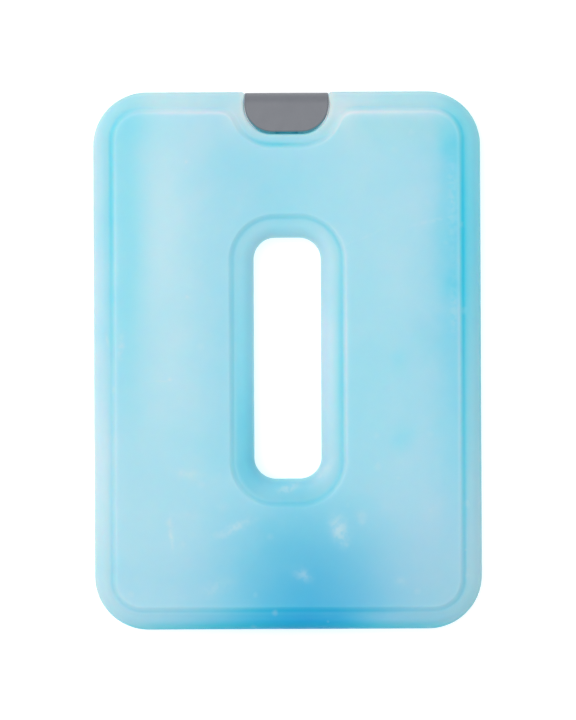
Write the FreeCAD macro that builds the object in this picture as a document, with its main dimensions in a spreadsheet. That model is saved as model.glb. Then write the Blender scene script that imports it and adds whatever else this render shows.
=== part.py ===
import FreeCAD, Part
import math
import os

import Sketcher
from FreeCAD import Vector

# A reusable ice pack in millimetres: a blow-moulded bottle with a hand slot, its frozen charge, the
# plug in its filler neck and the cap over it. It lies on its back face: X runs across it, Y up it
# towards the cap, and Z through its thickness. The origin is under its middle.

doc = FreeCAD.newDocument("reusable_ice_pack")

# Driving sizes

DRIVING_SIZES = {
    # The bottle's outline, and the flat band left between the rolled halves of its edge
    "body_width": 184.0,
    "body_height": 255.5,
    "body_thickness": 19.0,
    "corner_radius": 25.5,
    "parting_land": 3.9,
    # The raised field on each face: how far its foot stands inside the outline, the run of its slope,
    # and how much tighter its corners are than the outline's
    "field_step": 1.5,
    "rim_width": 8.3,
    "rim_width_top": 7.6,
    "slope_run": 2.2,
    "corner_tightening": 2.2,
    "field_edge_round": 1.2,
    "field_foot_cove": 2.0,
    # The hand slot, its middle a little above the bottle's, and the sunk ring that borders it
    "slot_width": 32.0,
    "slot_height": 114.7,
    "slot_corner": 10.4,
    "slot_rise": 1.1,
    "ring_border": 9.6,
    "ring_border_top": 8.95,
    "ring_border_bottom": 11.15,
    # The cap's notch in the top edge, and how the field dips round it
    "notch_depth": 20.2,
    "notch_floor": 13.6,
    "notch_corner": 13.4,
    "notch_lip": 1.5,
    "dip_border": 4.8,
    "dip_shoulder": 7.1,
    # Moulded wall, and the charge's clearance inside it
    "wall": 1.5,
    "fill_clearance": 0.1,
    # The filler neck on the notch floor, with the bead that the cap snaps over
    "neck_height": 7.0,
    "neck_wall": 1.6,
    "bead_drop": 1.7,
    "bead_width": 1.6,
    "bead_proud": 0.5,
    "bead_clearance": 0.2,
    # The plug pressed into the neck
    "plug_clearance": 0.05,
    "plug_wall": 1.2,
    "flange_thickness": 1.4,
    # The cap, with its gaps to the notch, and the collar inside it
    "cap_side_gap": 0.25,
    "cap_floor_gap": 0.9,
    "cap_drop": 0.5,
    "cap_setback": 0.2,
    "cap_wall": 1.6,
    "cap_bevel": 0.5,
    "cap_mouth_margin": 0.75,
    "collar_clearance": 0.15,
    "collar_wall": 1.1,
    "collar_height": 7.5,
}

sheet = doc.addObject("Spreadsheet::Sheet", "Sizes")
for row, (name, size) in enumerate(DRIVING_SIZES.items(), start=1):
    sheet.set(f"A{row}", name)
    sheet.set(f"B{row}", str(size))
    sheet.setAlias(f"B{row}", name)
doc.recompute()

# Levels and lines that several pieces share, as expressions on the sheet
HALF_THICKNESS = "(Sizes.body_thickness / 2)"
RIM_LEVEL = "(Sizes.body_thickness / 2 - Sizes.field_step)"
HALF_WIDTH = "(Sizes.body_width / 2)"
HALF_HEIGHT = "(Sizes.body_height / 2)"
NOTCH_FLOOR_LEVEL = f"({HALF_HEIGHT} - Sizes.notch_depth)"
NECK_TOP_LEVEL = f"({NOTCH_FLOOR_LEVEL} + Sizes.neck_height)"
NEAR = 1e-4

# The edges roll over down to the parting land, unless the flat beside the field's cove is too narrow
COVE_REACH = "(Sizes.field_foot_cove * tan(atan(Sizes.field_step / Sizes.slope_run) / 2))"
NARROWEST_RIM = "(min(Sizes.rim_width; Sizes.rim_width_top) - (sqrt(2) - 1) * Sizes.corner_tightening)"
NARROWEST_RING = "min(Sizes.ring_border; Sizes.ring_border_top; Sizes.ring_border_bottom)"
RIM_ROLL = (f"min({RIM_LEVEL} - Sizes.parting_land / 2; {NARROWEST_RIM} - {COVE_REACH}; "
            f"{NARROWEST_RING} - {COVE_REACH})")

# The neck stands just inside the cap's walls
CAP_HALF_DEPTH = f"({RIM_LEVEL} - Sizes.cap_setback)"
BEAD_RADIUS = f"({CAP_HALF_DEPTH} - Sizes.cap_wall - Sizes.bead_clearance)"
NECK_RADIUS = f"({BEAD_RADIUS} - Sizes.bead_proud)"
BORE_RADIUS = f"({NECK_RADIUS} - Sizes.neck_wall)"


def value(expression):
    """The number that an expression on the sheet gives."""
    return float(sheet.evalExpression(expression))


# Sketches

def sketch_on_face_plane(body, name, level="0"):
    """An empty sketch parallel to the pack's faces, at a level above its middle plane."""
    plane = next(item for item in body.Origin.OriginFeatures if item.Role == "XY_Plane")
    sketch = body.newObject("Sketcher::SketchObject", name)
    sketch.AttachmentSupport = (plane, [""])
    sketch.MapMode = "FlatFace"
    sketch.setExpression("AttachmentOffset.Base.z", level)
    return sketch


def add_line(sketch, start, end):
    return sketch.addGeometry(Part.LineSegment(Vector(*start), Vector(*end)), False)


def add_arc(sketch, centre, radius, first_degrees, last_degrees):
    circle = Part.Circle(Vector(*centre), Vector(0, 0, 1), radius)
    arc = Part.ArcOfCircle(circle, math.radians(first_degrees), math.radians(last_degrees))
    return sketch.addGeometry(arc, False)


def start_of(piece):
    return piece, 1


def end_of(piece):
    return piece, 2


def close_path(sketch, path, against=(), sharp=()):
    """Join the pieces of a path into a loop, smoothly but for a corner after each sharp piece. The
    pieces named in against were drawn the other way from the path."""
    for piece, following in zip(path, path[1:] + path[:1]):
        leaving = start_of(piece) if piece in against else end_of(piece)
        arriving = end_of(following) if following in against else start_of(following)
        kind = "Coincident" if piece in sharp else "Tangent"
        sketch.addConstraint(Sketcher.Constraint(kind, *leaving, *arriving))


def level_lines(sketch, across=(), along=()):
    for line in across:
        sketch.addConstraint(Sketcher.Constraint("Horizontal", line))
    for line in along:
        sketch.addConstraint(Sketcher.Constraint("Vertical", line))


def drive(sketch, name, constraint, expression):
    """Name a dimension of the sketch and bind it to the sheet."""
    index = sketch.addConstraint(constraint)
    sketch.renameConstraint(index, name)
    sketch.setExpression(f"Constraints.{name}", expression)


def sketch_origin():
    return -1, 1


def place_right(sketch, name, point, expression):
    constraint = Sketcher.Constraint("DistanceX", *sketch_origin(), *point, value(expression))
    drive(sketch, name, constraint, expression)


def place_left(sketch, name, point, expression):
    constraint = Sketcher.Constraint("DistanceX", *point, *sketch_origin(), value(expression))
    drive(sketch, name, constraint, expression)


def place_above(sketch, name, point, expression):
    constraint = Sketcher.Constraint("DistanceY", *sketch_origin(), *point, value(expression))
    drive(sketch, name, constraint, expression)


def place_below(sketch, name, point, expression):
    constraint = Sketcher.Constraint("DistanceY", *point, *sketch_origin(), value(expression))
    drive(sketch, name, constraint, expression)


def drive_radius(sketch, name, arcs, expression):
    """One radius for several arcs."""
    for arc in arcs[1:]:
        sketch.addConstraint(Sketcher.Constraint("Equal", arcs[0], arc))
    drive(sketch, name, Sketcher.Constraint("Radius", arcs[0], value(expression)), expression)


def rounded_rectangle(sketch, label, half_width, top, foot, radius):
    """A rounded rectangle centred across the pack, from a foot below its middle to a top above."""
    side, corner = value(half_width), value(radius)
    high, low = value(top), -value(foot)
    across, up, down = side - corner, high - corner, low + corner
    bottom = add_line(sketch, (-across, low), (across, low))
    low_right = add_arc(sketch, (across, down), corner, 270, 360)
    right = add_line(sketch, (side, down), (side, up))
    high_right = add_arc(sketch, (across, up), corner, 0, 90)
    ceiling = add_line(sketch, (across, high), (-across, high))
    high_left = add_arc(sketch, (-across, up), corner, 90, 180)
    left = add_line(sketch, (-side, up), (-side, down))
    low_left = add_arc(sketch, (-across, down), corner, 180, 270)
    close_path(sketch, [bottom, low_right, right, high_right, ceiling, high_left, left, low_left])
    level_lines(sketch, across=(bottom, ceiling), along=(right, left))
    drive_radius(sketch, f"{label}_corner", [low_right, high_right, high_left, low_left], radius)
    place_right(sketch, f"{label}_right", start_of(right), half_width)
    place_left(sketch, f"{label}_left", start_of(left), half_width)
    place_above(sketch, f"{label}_top", start_of(ceiling), top)
    place_below(sketch, f"{label}_bottom", start_of(bottom), foot)


def notch_outline(sketch, half_floor, radius, floor_level, top_level):
    """A U with a short flat floor and round corners, closed by a line across its top."""
    reach, corner = value(half_floor), value(radius)
    low, high = value(floor_level), value(top_level)
    side, bend = reach + corner, low + corner
    floor = add_line(sketch, (-reach, low), (reach, low))
    right_corner = add_arc(sketch, (reach, bend), corner, 270, 360)
    right = add_line(sketch, (side, bend), (side, high))
    top = add_line(sketch, (side, high), (-side, high))
    left = add_line(sketch, (-side, high), (-side, bend))
    left_corner = add_arc(sketch, (-reach, bend), corner, 180, 270)
    close_path(sketch, [floor, right_corner, right, top, left, left_corner], sharp=(right, top))
    level_lines(sketch, across=(floor, top), along=(right, left))
    drive_radius(sketch, "corner", [right_corner, left_corner], radius)
    place_right(sketch, "floor_right", end_of(floor), half_floor)
    place_left(sketch, "floor_left", start_of(floor), half_floor)
    place_above(sketch, "floor", start_of(floor), floor_level)
    place_above(sketch, "top", start_of(top), top_level)


def field_outline(sketch, rise, inset):
    """The raised field's outline, a rise up its slope: a rounded rectangle whose top edge dips in a
    U round the notch, with a rounded shoulder on each side of the dip."""
    half_width = f"{HALF_WIDTH} - Sizes.rim_width - {rise} - {inset}"
    foot_level = f"{HALF_HEIGHT} - Sizes.rim_width - {rise} - {inset}"
    top_level = f"{HALF_HEIGHT} - Sizes.rim_width_top - {rise} - {inset}"
    corner_radius = f"Sizes.corner_radius - Sizes.rim_width - Sizes.corner_tightening - {rise} - {inset}"
    shoulder_radius = f"Sizes.dip_shoulder + Sizes.slope_run - {rise} - {inset}"
    dip_radius = f"Sizes.notch_corner + Sizes.dip_border + {rise} + {inset}"
    dip_floor = f"{NOTCH_FLOOR_LEVEL} - Sizes.dip_border - {rise} - {inset}"
    half_floor = "Sizes.notch_floor / 2"

    side, low, high = value(half_width), -value(foot_level), value(top_level)
    corner, shoulder, dip = value(corner_radius), value(shoulder_radius), value(dip_radius)
    floor_level, reach = value(dip_floor), value(half_floor)
    dip_centre = floor_level + dip
    drop = dip_centre - (high - shoulder)
    away = reach + math.sqrt((dip + shoulder) ** 2 - drop ** 2)
    lean = math.degrees(math.atan2(drop, away - reach))
    across, up, down = side - corner, high - corner, low + corner

    bottom = add_line(sketch, (-across, low), (across, low))
    low_right = add_arc(sketch, (across, down), corner, 270, 360)
    right = add_line(sketch, (side, down), (side, up))
    high_right = add_arc(sketch, (across, up), corner, 0, 90)
    top_right = add_line(sketch, (across, high), (away, high))
    shoulder_right = add_arc(sketch, (away, high - shoulder), shoulder, 90, 180 - lean)
    dip_right = add_arc(sketch, (reach, dip_centre), dip, -90, -lean)
    floor = add_line(sketch, (reach, floor_level), (-reach, floor_level))
    dip_left = add_arc(sketch, (-reach, dip_centre), dip, 180 + lean, 270)
    shoulder_left = add_arc(sketch, (-away, high - shoulder), shoulder, lean, 90)
    top_left = add_line(sketch, (-away, high), (-across, high))
    high_left = add_arc(sketch, (-across, up), corner, 90, 180)
    left = add_line(sketch, (-side, up), (-side, down))
    low_left = add_arc(sketch, (-across, down), corner, 180, 270)
    path = [bottom, low_right, right, high_right, top_right, shoulder_right, dip_right, floor,
            dip_left, shoulder_left, top_left, high_left, left, low_left]
    close_path(sketch, path, against=(dip_right, dip_left))
    level_lines(sketch, across=(bottom, top_right, floor, top_left), along=(right, left))
    drive_radius(sketch, "corner", [low_right, high_right, high_left, low_left], corner_radius)
    drive_radius(sketch, "shoulder", [shoulder_right, shoulder_left], shoulder_radius)
    drive_radius(sketch, "dip", [dip_right, dip_left], dip_radius)
    place_right(sketch, "right", start_of(right), half_width)
    place_left(sketch, "left", start_of(left), half_width)
    place_below(sketch, "bottom", start_of(bottom), foot_level)
    place_above(sketch, "top_right", start_of(top_right), top_level)
    place_above(sketch, "top_left", start_of(top_left), top_level)
    place_above(sketch, "dip_floor", start_of(floor), dip_floor)
    place_right(sketch, "floor_right", start_of(floor), half_floor)
    place_left(sketch, "floor_left", end_of(floor), half_floor)


def turned_outline(sketch, corners):
    """A closed profile to turn about the pack's Y axis, from (radius, level) expressions."""
    points = [(value(radius), value(level)) for radius, level in corners]
    lines = [add_line(sketch, a, b) for a, b in zip(points, points[1:] + points[:1])]
    close_path(sketch, lines, sharp=lines)
    for number, (line, (radius, level)) in enumerate(zip(lines, corners), start=1):
        if value(radius) < NEAR:
            sketch.addConstraint(Sketcher.Constraint("PointOnObject", *start_of(line), -2))
        else:
            place_right(sketch, f"radius_{number}", start_of(line), radius)
        place_above(sketch, f"level_{number}", start_of(line), level)


# Features

def new_body(label):
    body = doc.addObject("PartDesign::Body", label)
    body.Label = label
    body.setExpression("Placement.Base.z", HALF_THICKNESS)
    return body


def pad(body, name, sketch, length):
    feature = body.newObject("PartDesign::Pad", name)
    feature.Profile = sketch
    feature.setExpression("Length", length)
    doc.recompute()
    return feature


def pocket_towards_front(body, name, sketch, length):
    """Cut from the middle plane towards the front face, and check that material went."""
    before = body.Tip.Shape.Volume
    feature = body.newObject("PartDesign::Pocket", name)
    feature.Profile = sketch
    feature.Reversed = True
    feature.setExpression("Length", length)
    doc.recompute()
    if body.Tip.Shape.Volume >= before - NEAR:
        raise ValueError(f"{name} cuts nothing")
    return feature


def loft(body, name, kind, first, last):
    feature = body.newObject(f"PartDesign::{kind}Loft", name)
    feature.Profile = first
    feature.Sections = [last]
    feature.Ruled = True
    doc.recompute()
    return feature


def turn(body, name, corners):
    """Turn a profile about the pack's Y axis."""
    sketch = sketch_on_face_plane(body, f"{name}_profile")
    turned_outline(sketch, corners)
    feature = body.newObject("PartDesign::Revolution", name)
    feature.Profile = sketch
    feature.ReferenceAxis = (sketch, ["V_Axis"])
    feature.Angle = 360
    doc.recompute()
    return feature


def round_edges(body, name, edges, radius):
    base = body.Tip
    feature = body.newObject("PartDesign::Fillet", name)
    feature.Base = (base, edges)
    feature.setExpression("Radius", radius)
    doc.recompute()
    return feature


def bevel_edges(body, name, edges, size):
    base = body.Tip
    feature = body.newObject("PartDesign::Chamfer", name)
    feature.Base = (base, edges)
    feature.setExpression("Size", size)
    doc.recompute()
    return feature


def mirror_to_back(body, name):
    """Repeat the front half behind the middle plane."""
    plane = next(item for item in body.Origin.OriginFeatures if item.Role == "XY_Plane")
    feature = body.newObject("PartDesign::Mirrored", name)
    feature.TransformMode = "Whole shape"
    feature.MirrorPlane = (plane, [""])
    body.Tip = feature
    doc.recompute()
    return feature


def spans(box, low, high):
    return abs(box.ZMin - low) < NEAR and abs(box.ZMax - high) < NEAR


def edges_at(shape, level, neighbour):
    """Names of the edges that lie flat at a level and have a neighbour face that fits the test."""
    names = []
    for number, edge in enumerate(shape.Edges, start=1):
        if not spans(edge.BoundBox, level, level):
            continue
        faces = shape.ancestorsOfType(edge, Part.Face)
        if any(neighbour(face.BoundBox) for face in faces):
            names.append(f"Edge{number}")
    return names


def edges_round_walls(shape, is_wall):
    """Names of the edges where a run of walls ends, other than those on the middle plane."""
    names = []
    for number, edge in enumerate(shape.Edges, start=1):
        if edge.BoundBox.ZMax < NEAR:
            continue
        faces = shape.ancestorsOfType(edge, Part.Face)
        if sum(1 for face in faces if is_wall(face)) == 1:
            names.append(f"Edge{number}")
    return names


def stands_upright(face):
    """True for a face with no lean towards front or back."""
    first, last, low, high = face.ParameterRange
    return abs(face.normalAt((first + last) / 2, (low + high) / 2).z) < NEAR


# The moulded form

def ring_outline(sketch, spread):
    """The sunk ring's outline round the slot, a spread outside its foot."""
    rounded_rectangle(
        sketch, "ring", f"Sizes.slot_width / 2 + Sizes.ring_border + {spread}",
        f"Sizes.slot_height / 2 + Sizes.slot_rise + Sizes.ring_border_top + {spread}",
        f"Sizes.slot_height / 2 - Sizes.slot_rise + Sizes.ring_border_bottom + {spread}",
        f"Sizes.slot_corner + Sizes.ring_border + {spread}")


def soften_small_edges(body, label, rim, top):
    """Round the lip of the notch and the field's edge, and cove the foot of its slope."""
    reach = value("Sizes.notch_floor / 2 + Sizes.notch_corner") + NEAR
    floor_level = value(NOTCH_FLOOR_LEVEL) - NEAR

    def is_notch_wall(face):
        box = face.BoundBox
        inside = box.XMin > -reach and box.XMax < reach and box.YMin > floor_level
        return inside and box.ZMin < NEAR and stands_upright(face)

    def is_slope(box):
        return spans(box, rim, top)

    lip = edges_round_walls(body.Tip.Shape, is_notch_wall)
    round_edges(body, f"{label}_notch_lip", lip, "Sizes.notch_lip")
    field_edges = edges_at(body.Tip.Shape, top, is_slope)
    round_edges(body, f"{label}_field_rounding", field_edges, "Sizes.field_edge_round")
    foot_edges = edges_at(body.Tip.Shape, rim, lambda box: abs(box.ZMin - rim) < NEAR < box.ZMax - rim)
    round_edges(body, f"{label}_field_cove", foot_edges, "Sizes.field_foot_cove")


def moulded_form(label, inset, rolled=True, finished=False):
    """The bottle's outer form, or a form that stands an inset inside it all round. A rolled one has
    its rim rolled over, and one that isn't is bevelled there; a finished one also has the small
    rounded edges that show from outside."""
    body = new_body(label)
    rim_level, top_level = f"{RIM_LEVEL} - {inset}", f"{HALF_THICKNESS} - {inset}"

    # Raised field, sloping in from its foot, with the sunk ring round the slot
    foot = sketch_on_face_plane(body, f"{label}_field_foot", rim_level)
    field_outline(foot, "0", inset)
    edge = sketch_on_face_plane(body, f"{label}_field_edge", top_level)
    field_outline(edge, "Sizes.slope_run", inset)
    loft(body, f"{label}_field", "Additive", foot, edge)
    ring_foot = sketch_on_face_plane(body, f"{label}_ring_foot", rim_level)
    ring_outline(ring_foot, inset)
    ring_edge = sketch_on_face_plane(body, f"{label}_ring_edge", top_level)
    ring_outline(ring_edge, f"Sizes.slope_run + {inset}")
    loft(body, f"{label}_ring", "Subtractive", ring_foot, ring_edge)

    # Rim from the middle plane up, with the slot through it and both edges rolled over
    outline = sketch_on_face_plane(body, f"{label}_outline")
    rounded_rectangle(outline, "body", f"{HALF_WIDTH} - {inset}", f"{HALF_HEIGHT} - {inset}",
                      f"{HALF_HEIGHT} - {inset}", f"Sizes.corner_radius - {inset}")
    rounded_rectangle(outline, "slot", f"Sizes.slot_width / 2 + {inset}",
                      f"Sizes.slot_height / 2 + Sizes.slot_rise + {inset}",
                      f"Sizes.slot_height / 2 - Sizes.slot_rise + {inset}", f"Sizes.slot_corner + {inset}")
    pad(body, f"{label}_rim", outline, rim_level)
    rim, top = value(rim_level), value(top_level)
    rim_edges = edges_at(body.Tip.Shape, rim, lambda box: box.ZMin < NEAR and box.ZMax < rim + NEAR)
    soften = round_edges if rolled else bevel_edges
    soften(body, f"{label}_roll", rim_edges, f"{RIM_ROLL} - {inset}")

    # Notch for the cap
    notch = sketch_on_face_plane(body, f"{label}_notch_outline")
    notch_outline(notch, "Sizes.notch_floor / 2", f"Sizes.notch_corner + {inset}",
                  f"{NOTCH_FLOOR_LEVEL} - {inset}", f"{HALF_HEIGHT} + Sizes.notch_depth")
    pocket_towards_front(body, f"{label}_notch", notch, "Sizes.body_thickness")

    if finished:
        soften_small_edges(body, label, rim, top)
    mirror_to_back(body, f"{label}_back")
    return body


outer = moulded_form("outer_form", "0", finished=True)

bead_high = f"{NECK_TOP_LEVEL} - Sizes.bead_drop"
bead_low = f"{bead_high} - Sizes.bead_width"
turn(outer, "filler_neck", [
    ("0", f"{NOTCH_FLOOR_LEVEL} - Sizes.wall / 2"),
    (NECK_RADIUS, f"{NOTCH_FLOOR_LEVEL} - Sizes.wall / 2"),
    (NECK_RADIUS, bead_low),
    (BEAD_RADIUS, f"{bead_low} + Sizes.bead_proud"),
    (BEAD_RADIUS, f"{bead_high} - Sizes.bead_proud"),
    (NECK_RADIUS, bead_high),
    (NECK_RADIUS, NECK_TOP_LEVEL),
    ("0", NECK_TOP_LEVEL),
])

hollow = moulded_form("hollow", "Sizes.wall")
turn(hollow, "filler_bore", [
    ("0", f"{NOTCH_FLOOR_LEVEL} - 2 * Sizes.wall"),
    (BORE_RADIUS, f"{NOTCH_FLOOR_LEVEL} - 2 * Sizes.wall"),
    (BORE_RADIUS, f"{NECK_TOP_LEVEL} + Sizes.wall"),
    ("0", f"{NECK_TOP_LEVEL} + Sizes.wall"),
])

shell = doc.addObject("Part::Cut", "shell")
shell.Label = "shell"
shell.Base = outer
shell.Tool = hollow

coolant = moulded_form("coolant", "(Sizes.wall + Sizes.fill_clearance)", rolled=False)

# The plug: a flange on top of the neck, and a hollow stem down its bore

filler_plug = new_body("filler_plug")
stem_radius = f"{BORE_RADIUS} - Sizes.plug_clearance"
stem_end = f"{NOTCH_FLOOR_LEVEL} - Sizes.wall / 2"
flange_low = f"{NECK_TOP_LEVEL} + Sizes.plug_clearance"
flange_high = f"{flange_low} + Sizes.flange_thickness"
recess_radius = f"{stem_radius} - Sizes.plug_wall"
turn(filler_plug, "plug_form", [
    ("0", stem_end),
    (f"{stem_radius} - Sizes.plug_wall / 2", stem_end),
    (stem_radius, f"{stem_end} + Sizes.plug_wall"),
    (stem_radius, flange_low),
    (NECK_RADIUS, flange_low),
    (NECK_RADIUS, flange_high),
    (recess_radius, flange_high),
    (recess_radius, f"{stem_end} + 2 * Sizes.plug_wall"),
    ("0", f"{stem_end} + 2 * Sizes.plug_wall"),
])

# The cap: a shallow moulded cover that fills the notch, hollow, with a snap collar

def cap_form(label, inset, finished=False):
    """The cap's outer form, or one that stands an inset inside it."""
    body = new_body(label)
    half_depth = f"{CAP_HALF_DEPTH} - {inset}"
    top_level = f"{HALF_HEIGHT} - Sizes.cap_drop - {inset}"
    outline = sketch_on_face_plane(body, f"{label}_outline")
    notch_outline(outline, "Sizes.notch_floor / 2", f"Sizes.notch_corner - Sizes.cap_side_gap - {inset}",
                  f"{NOTCH_FLOOR_LEVEL} + Sizes.cap_floor_gap + {inset}", top_level)
    pad(body, f"{label}_half", outline, half_depth)

    # Top edge rolled over in line with the bottle's rim
    depth, top = value(half_depth), value(top_level)
    top_edges = edges_at(body.Tip.Shape, depth, lambda box: box.YMin > top - NEAR)
    round_edges(body, f"{label}_roll", top_edges, f"{RIM_ROLL} - Sizes.cap_setback - {inset}")
    if finished:
        def is_side(face):
            return face.BoundBox.ZMin < NEAR and stands_upright(face) and face.BoundBox.YMin < top - NEAR

        bevel_edges(body, f"{label}_edge", edges_round_walls(body.Tip.Shape, is_side), "Sizes.cap_bevel")
    mirror_to_back(body, f"{label}_back")
    return body


cap_outer = cap_form("cap_outer", "0", finished=True)
cap_hollow = cap_form("cap_hollow", "Sizes.cap_wall")

collar_radius = f"{BEAD_RADIUS} + Sizes.collar_clearance"
collar_outside = f"{collar_radius} + Sizes.collar_wall"
mouth = doc.addObject("Part::Box", "cap_mouth")
mouth.setExpression("Length", f"2 * ({collar_outside} + Sizes.cap_mouth_margin)")
mouth.setExpression("Width", "Sizes.cap_floor_gap + 2 * Sizes.cap_wall")
mouth.setExpression("Height", f"2 * ({CAP_HALF_DEPTH} - Sizes.cap_wall)")
mouth.setExpression("Placement.Base.x", f"-({collar_outside} + Sizes.cap_mouth_margin)")
mouth.setExpression("Placement.Base.y", NOTCH_FLOOR_LEVEL)
mouth.setExpression("Placement.Base.z", "Sizes.field_step + Sizes.cap_setback + Sizes.cap_wall")

cap_space = doc.addObject("Part::Fuse", "cap_space")
cap_space.Base = cap_hollow
cap_space.Tool = mouth
cap_cover = doc.addObject("Part::Cut", "cap_cover")
cap_cover.Base = cap_outer
cap_cover.Tool = cap_space

collar_ring = new_body("collar_ring")
collar_low = f"{NOTCH_FLOOR_LEVEL} + Sizes.cap_floor_gap + Sizes.cap_wall / 2"
collar_high = f"{collar_low} + Sizes.collar_height"
lip_radius = f"{NECK_RADIUS} + Sizes.collar_clearance"
lip_high = f"{bead_low} - Sizes.collar_clearance"
turn(collar_ring, "collar_form", [
    (lip_radius, collar_low),
    (collar_outside, collar_low),
    (collar_outside, collar_high),
    (collar_radius, collar_high),
    (collar_radius, f"{lip_high} + Sizes.bead_proud"),
    (lip_radius, lip_high),
])
cap_collar = doc.addObject("Part::Common", "cap_collar")
cap_collar.Base = collar_ring
cap_collar.Tool = cap_outer

cap = doc.addObject("Part::Fuse", "cap")
cap.Label = "cap"
cap.Base = cap_cover
cap.Tool = cap_collar
doc.recompute()

# Checks and files

sub_parts = [shell, coolant, filler_plug, cap]
for item in doc.Objects:
    if "Invalid" in item.State or "Error" in item.State:
        raise RuntimeError(f"{item.Label} failed: {item.State}")
for item in sub_parts:
    if item.Shape.isNull() or not item.Shape.isValid() or len(item.Shape.Solids) != 1:
        raise RuntimeError(f"{item.Label} is not one valid solid")

os.makedirs("parts", exist_ok=True)
for item in sub_parts:
    item.Shape.exportStep(f"parts/{item.Label}.step")
    box = item.Shape.optimalBoundingBox(True, False)
    print(item.Label, round(item.Shape.Volume / 1000, 2), "cm3,", [round(n, 2) for n in (
        box.XMin, box.XMax, box.YMin, box.YMax, box.ZMin, box.ZMax)])
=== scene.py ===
"""Looks of a reusable ice pack: a frosted blow-moulded bottle of blue coolant, lying on a pale table."""

import logging
import math
from dataclasses import dataclass, field
from enum import Enum
from typing import Callable, ClassVar, Dict, List, Optional, Sequence, Tuple, Union

import bpy
import numpy as np
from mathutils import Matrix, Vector


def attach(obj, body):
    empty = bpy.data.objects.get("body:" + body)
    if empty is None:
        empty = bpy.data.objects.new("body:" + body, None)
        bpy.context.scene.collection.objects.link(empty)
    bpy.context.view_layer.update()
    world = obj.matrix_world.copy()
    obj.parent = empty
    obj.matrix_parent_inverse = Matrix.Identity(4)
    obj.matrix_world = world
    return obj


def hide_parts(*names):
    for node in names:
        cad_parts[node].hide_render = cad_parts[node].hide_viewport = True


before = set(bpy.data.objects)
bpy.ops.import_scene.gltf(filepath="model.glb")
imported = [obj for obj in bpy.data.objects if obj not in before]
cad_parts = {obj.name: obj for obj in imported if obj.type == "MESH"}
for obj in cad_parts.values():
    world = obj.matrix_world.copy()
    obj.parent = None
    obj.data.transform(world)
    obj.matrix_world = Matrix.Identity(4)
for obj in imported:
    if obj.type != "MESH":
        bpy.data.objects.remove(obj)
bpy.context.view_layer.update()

log = logging.getLogger("ice_pack")

MM = 0.001
EVERY_DEPTH = 1000.0
WHITE = (1.0, 1.0, 1.0, 1.0)

Colour = Tuple[float, float, float]
Feed = Union[float, Sequence[float], bpy.types.NodeSocket]
Sockets = Dict[str, bpy.types.NodeSocket]


# Outlines, in millimetres from the middle of the pack

def line_points(start: Sequence[float], end: Sequence[float], count: int) -> np.ndarray:
    """Even points along a straight run.

    Args:
        start: First point.
        end: Last point, which is left out.
        count: How many points.

    Returns:
        The points, one row each.
    """
    share = np.linspace(0.0, 1.0, count, endpoint=False)[:, None]
    return np.array(start, float) * (1 - share) + np.array(end, float) * share


def arc_points(centre: Sequence[float], radius: float, first: float, last: float, count: int) -> np.ndarray:
    """Even points along an arc.

    Args:
        centre: Middle of the arc.
        radius: Its radius.
        first: Angle at its start, in degrees.
        last: Angle at its end, in degrees. The end is left out.
        count: How many points.

    Returns:
        The points, one row each.
    """
    angle = np.radians(np.linspace(first, last, count, endpoint=False))
    return np.array(centre, float) + radius * np.column_stack((np.cos(angle), np.sin(angle)))


def both_sides(half: np.ndarray) -> np.ndarray:
    """Close a right-hand half outline with its mirror image.

    Args:
        half: Points from the bottom middle round the right side to the top middle.

    Returns:
        The whole loop.
    """
    return np.vstack((half, half[-2:0:-1] * (-1.0, 1.0)))


def inside_rounded_rectangle(points: np.ndarray, half_width: float, high: float, low: float,
                             corner: float) -> np.ndarray:
    """How far points stand inside a rounded rectangle.

    Args:
        points: The points.
        half_width: Half the rectangle's width.
        high: Level of its top edge.
        low: Level of its bottom edge.
        corner: Radius of its corners.

    Returns:
        Each point's distance, negative outside.
    """
    middle = (high + low) / 2
    core = np.array((half_width - corner, (high - low) / 2 - corner))
    beyond = np.abs(points - (0.0, middle)) - core
    outside = np.linalg.norm(np.maximum(beyond, 0.0), axis=1)
    return corner - outside - np.minimum(beyond.max(axis=1), 0.0)


def roll_drop(distance: np.ndarray, radius: float) -> np.ndarray:
    """How far a rolled edge has dropped, at a distance in from the wall.

    Args:
        distance: Distance in from the wall.
        radius: Radius of the roll.

    Returns:
        The drop, zero beyond the roll.
    """
    into = np.clip(radius - distance, 0.0, radius)
    return radius - np.sqrt(radius ** 2 - into ** 2)


def smooth_largest(first: np.ndarray, second: np.ndarray, blend: float) -> np.ndarray:
    """The larger of two values, rounded where they cross.

    Args:
        first: One value at each point.
        second: The other.
        blend: Width of the rounding.

    Returns:
        The blended values.
    """
    share = np.clip(0.5 + 0.5 * (first - second) / blend, 0.0, 1.0)
    return second * (1 - share) + first * share + blend * share * (1 - share)


def fade(values: np.ndarray, start: float, end: float) -> np.ndarray:
    """Rise smoothly from 0 at start to 1 at end.

    Args:
        values: Where to look.
        start: Where the rise begins.
        end: Where it ends.

    Returns:
        The share at each value.
    """
    share = np.clip((values - start) / (end - start), 0.0, 1.0)
    return share * share * (3 - 2 * share)


@dataclass(frozen=True)
class Stations:
    """How many points each run of half an outline gets, the same on every loop."""

    bottom: int = 30
    corner: int = 24
    side: int = 84
    top: int = 22
    shoulder: int = 14
    dip: int = 28
    floor: int = 6


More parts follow.
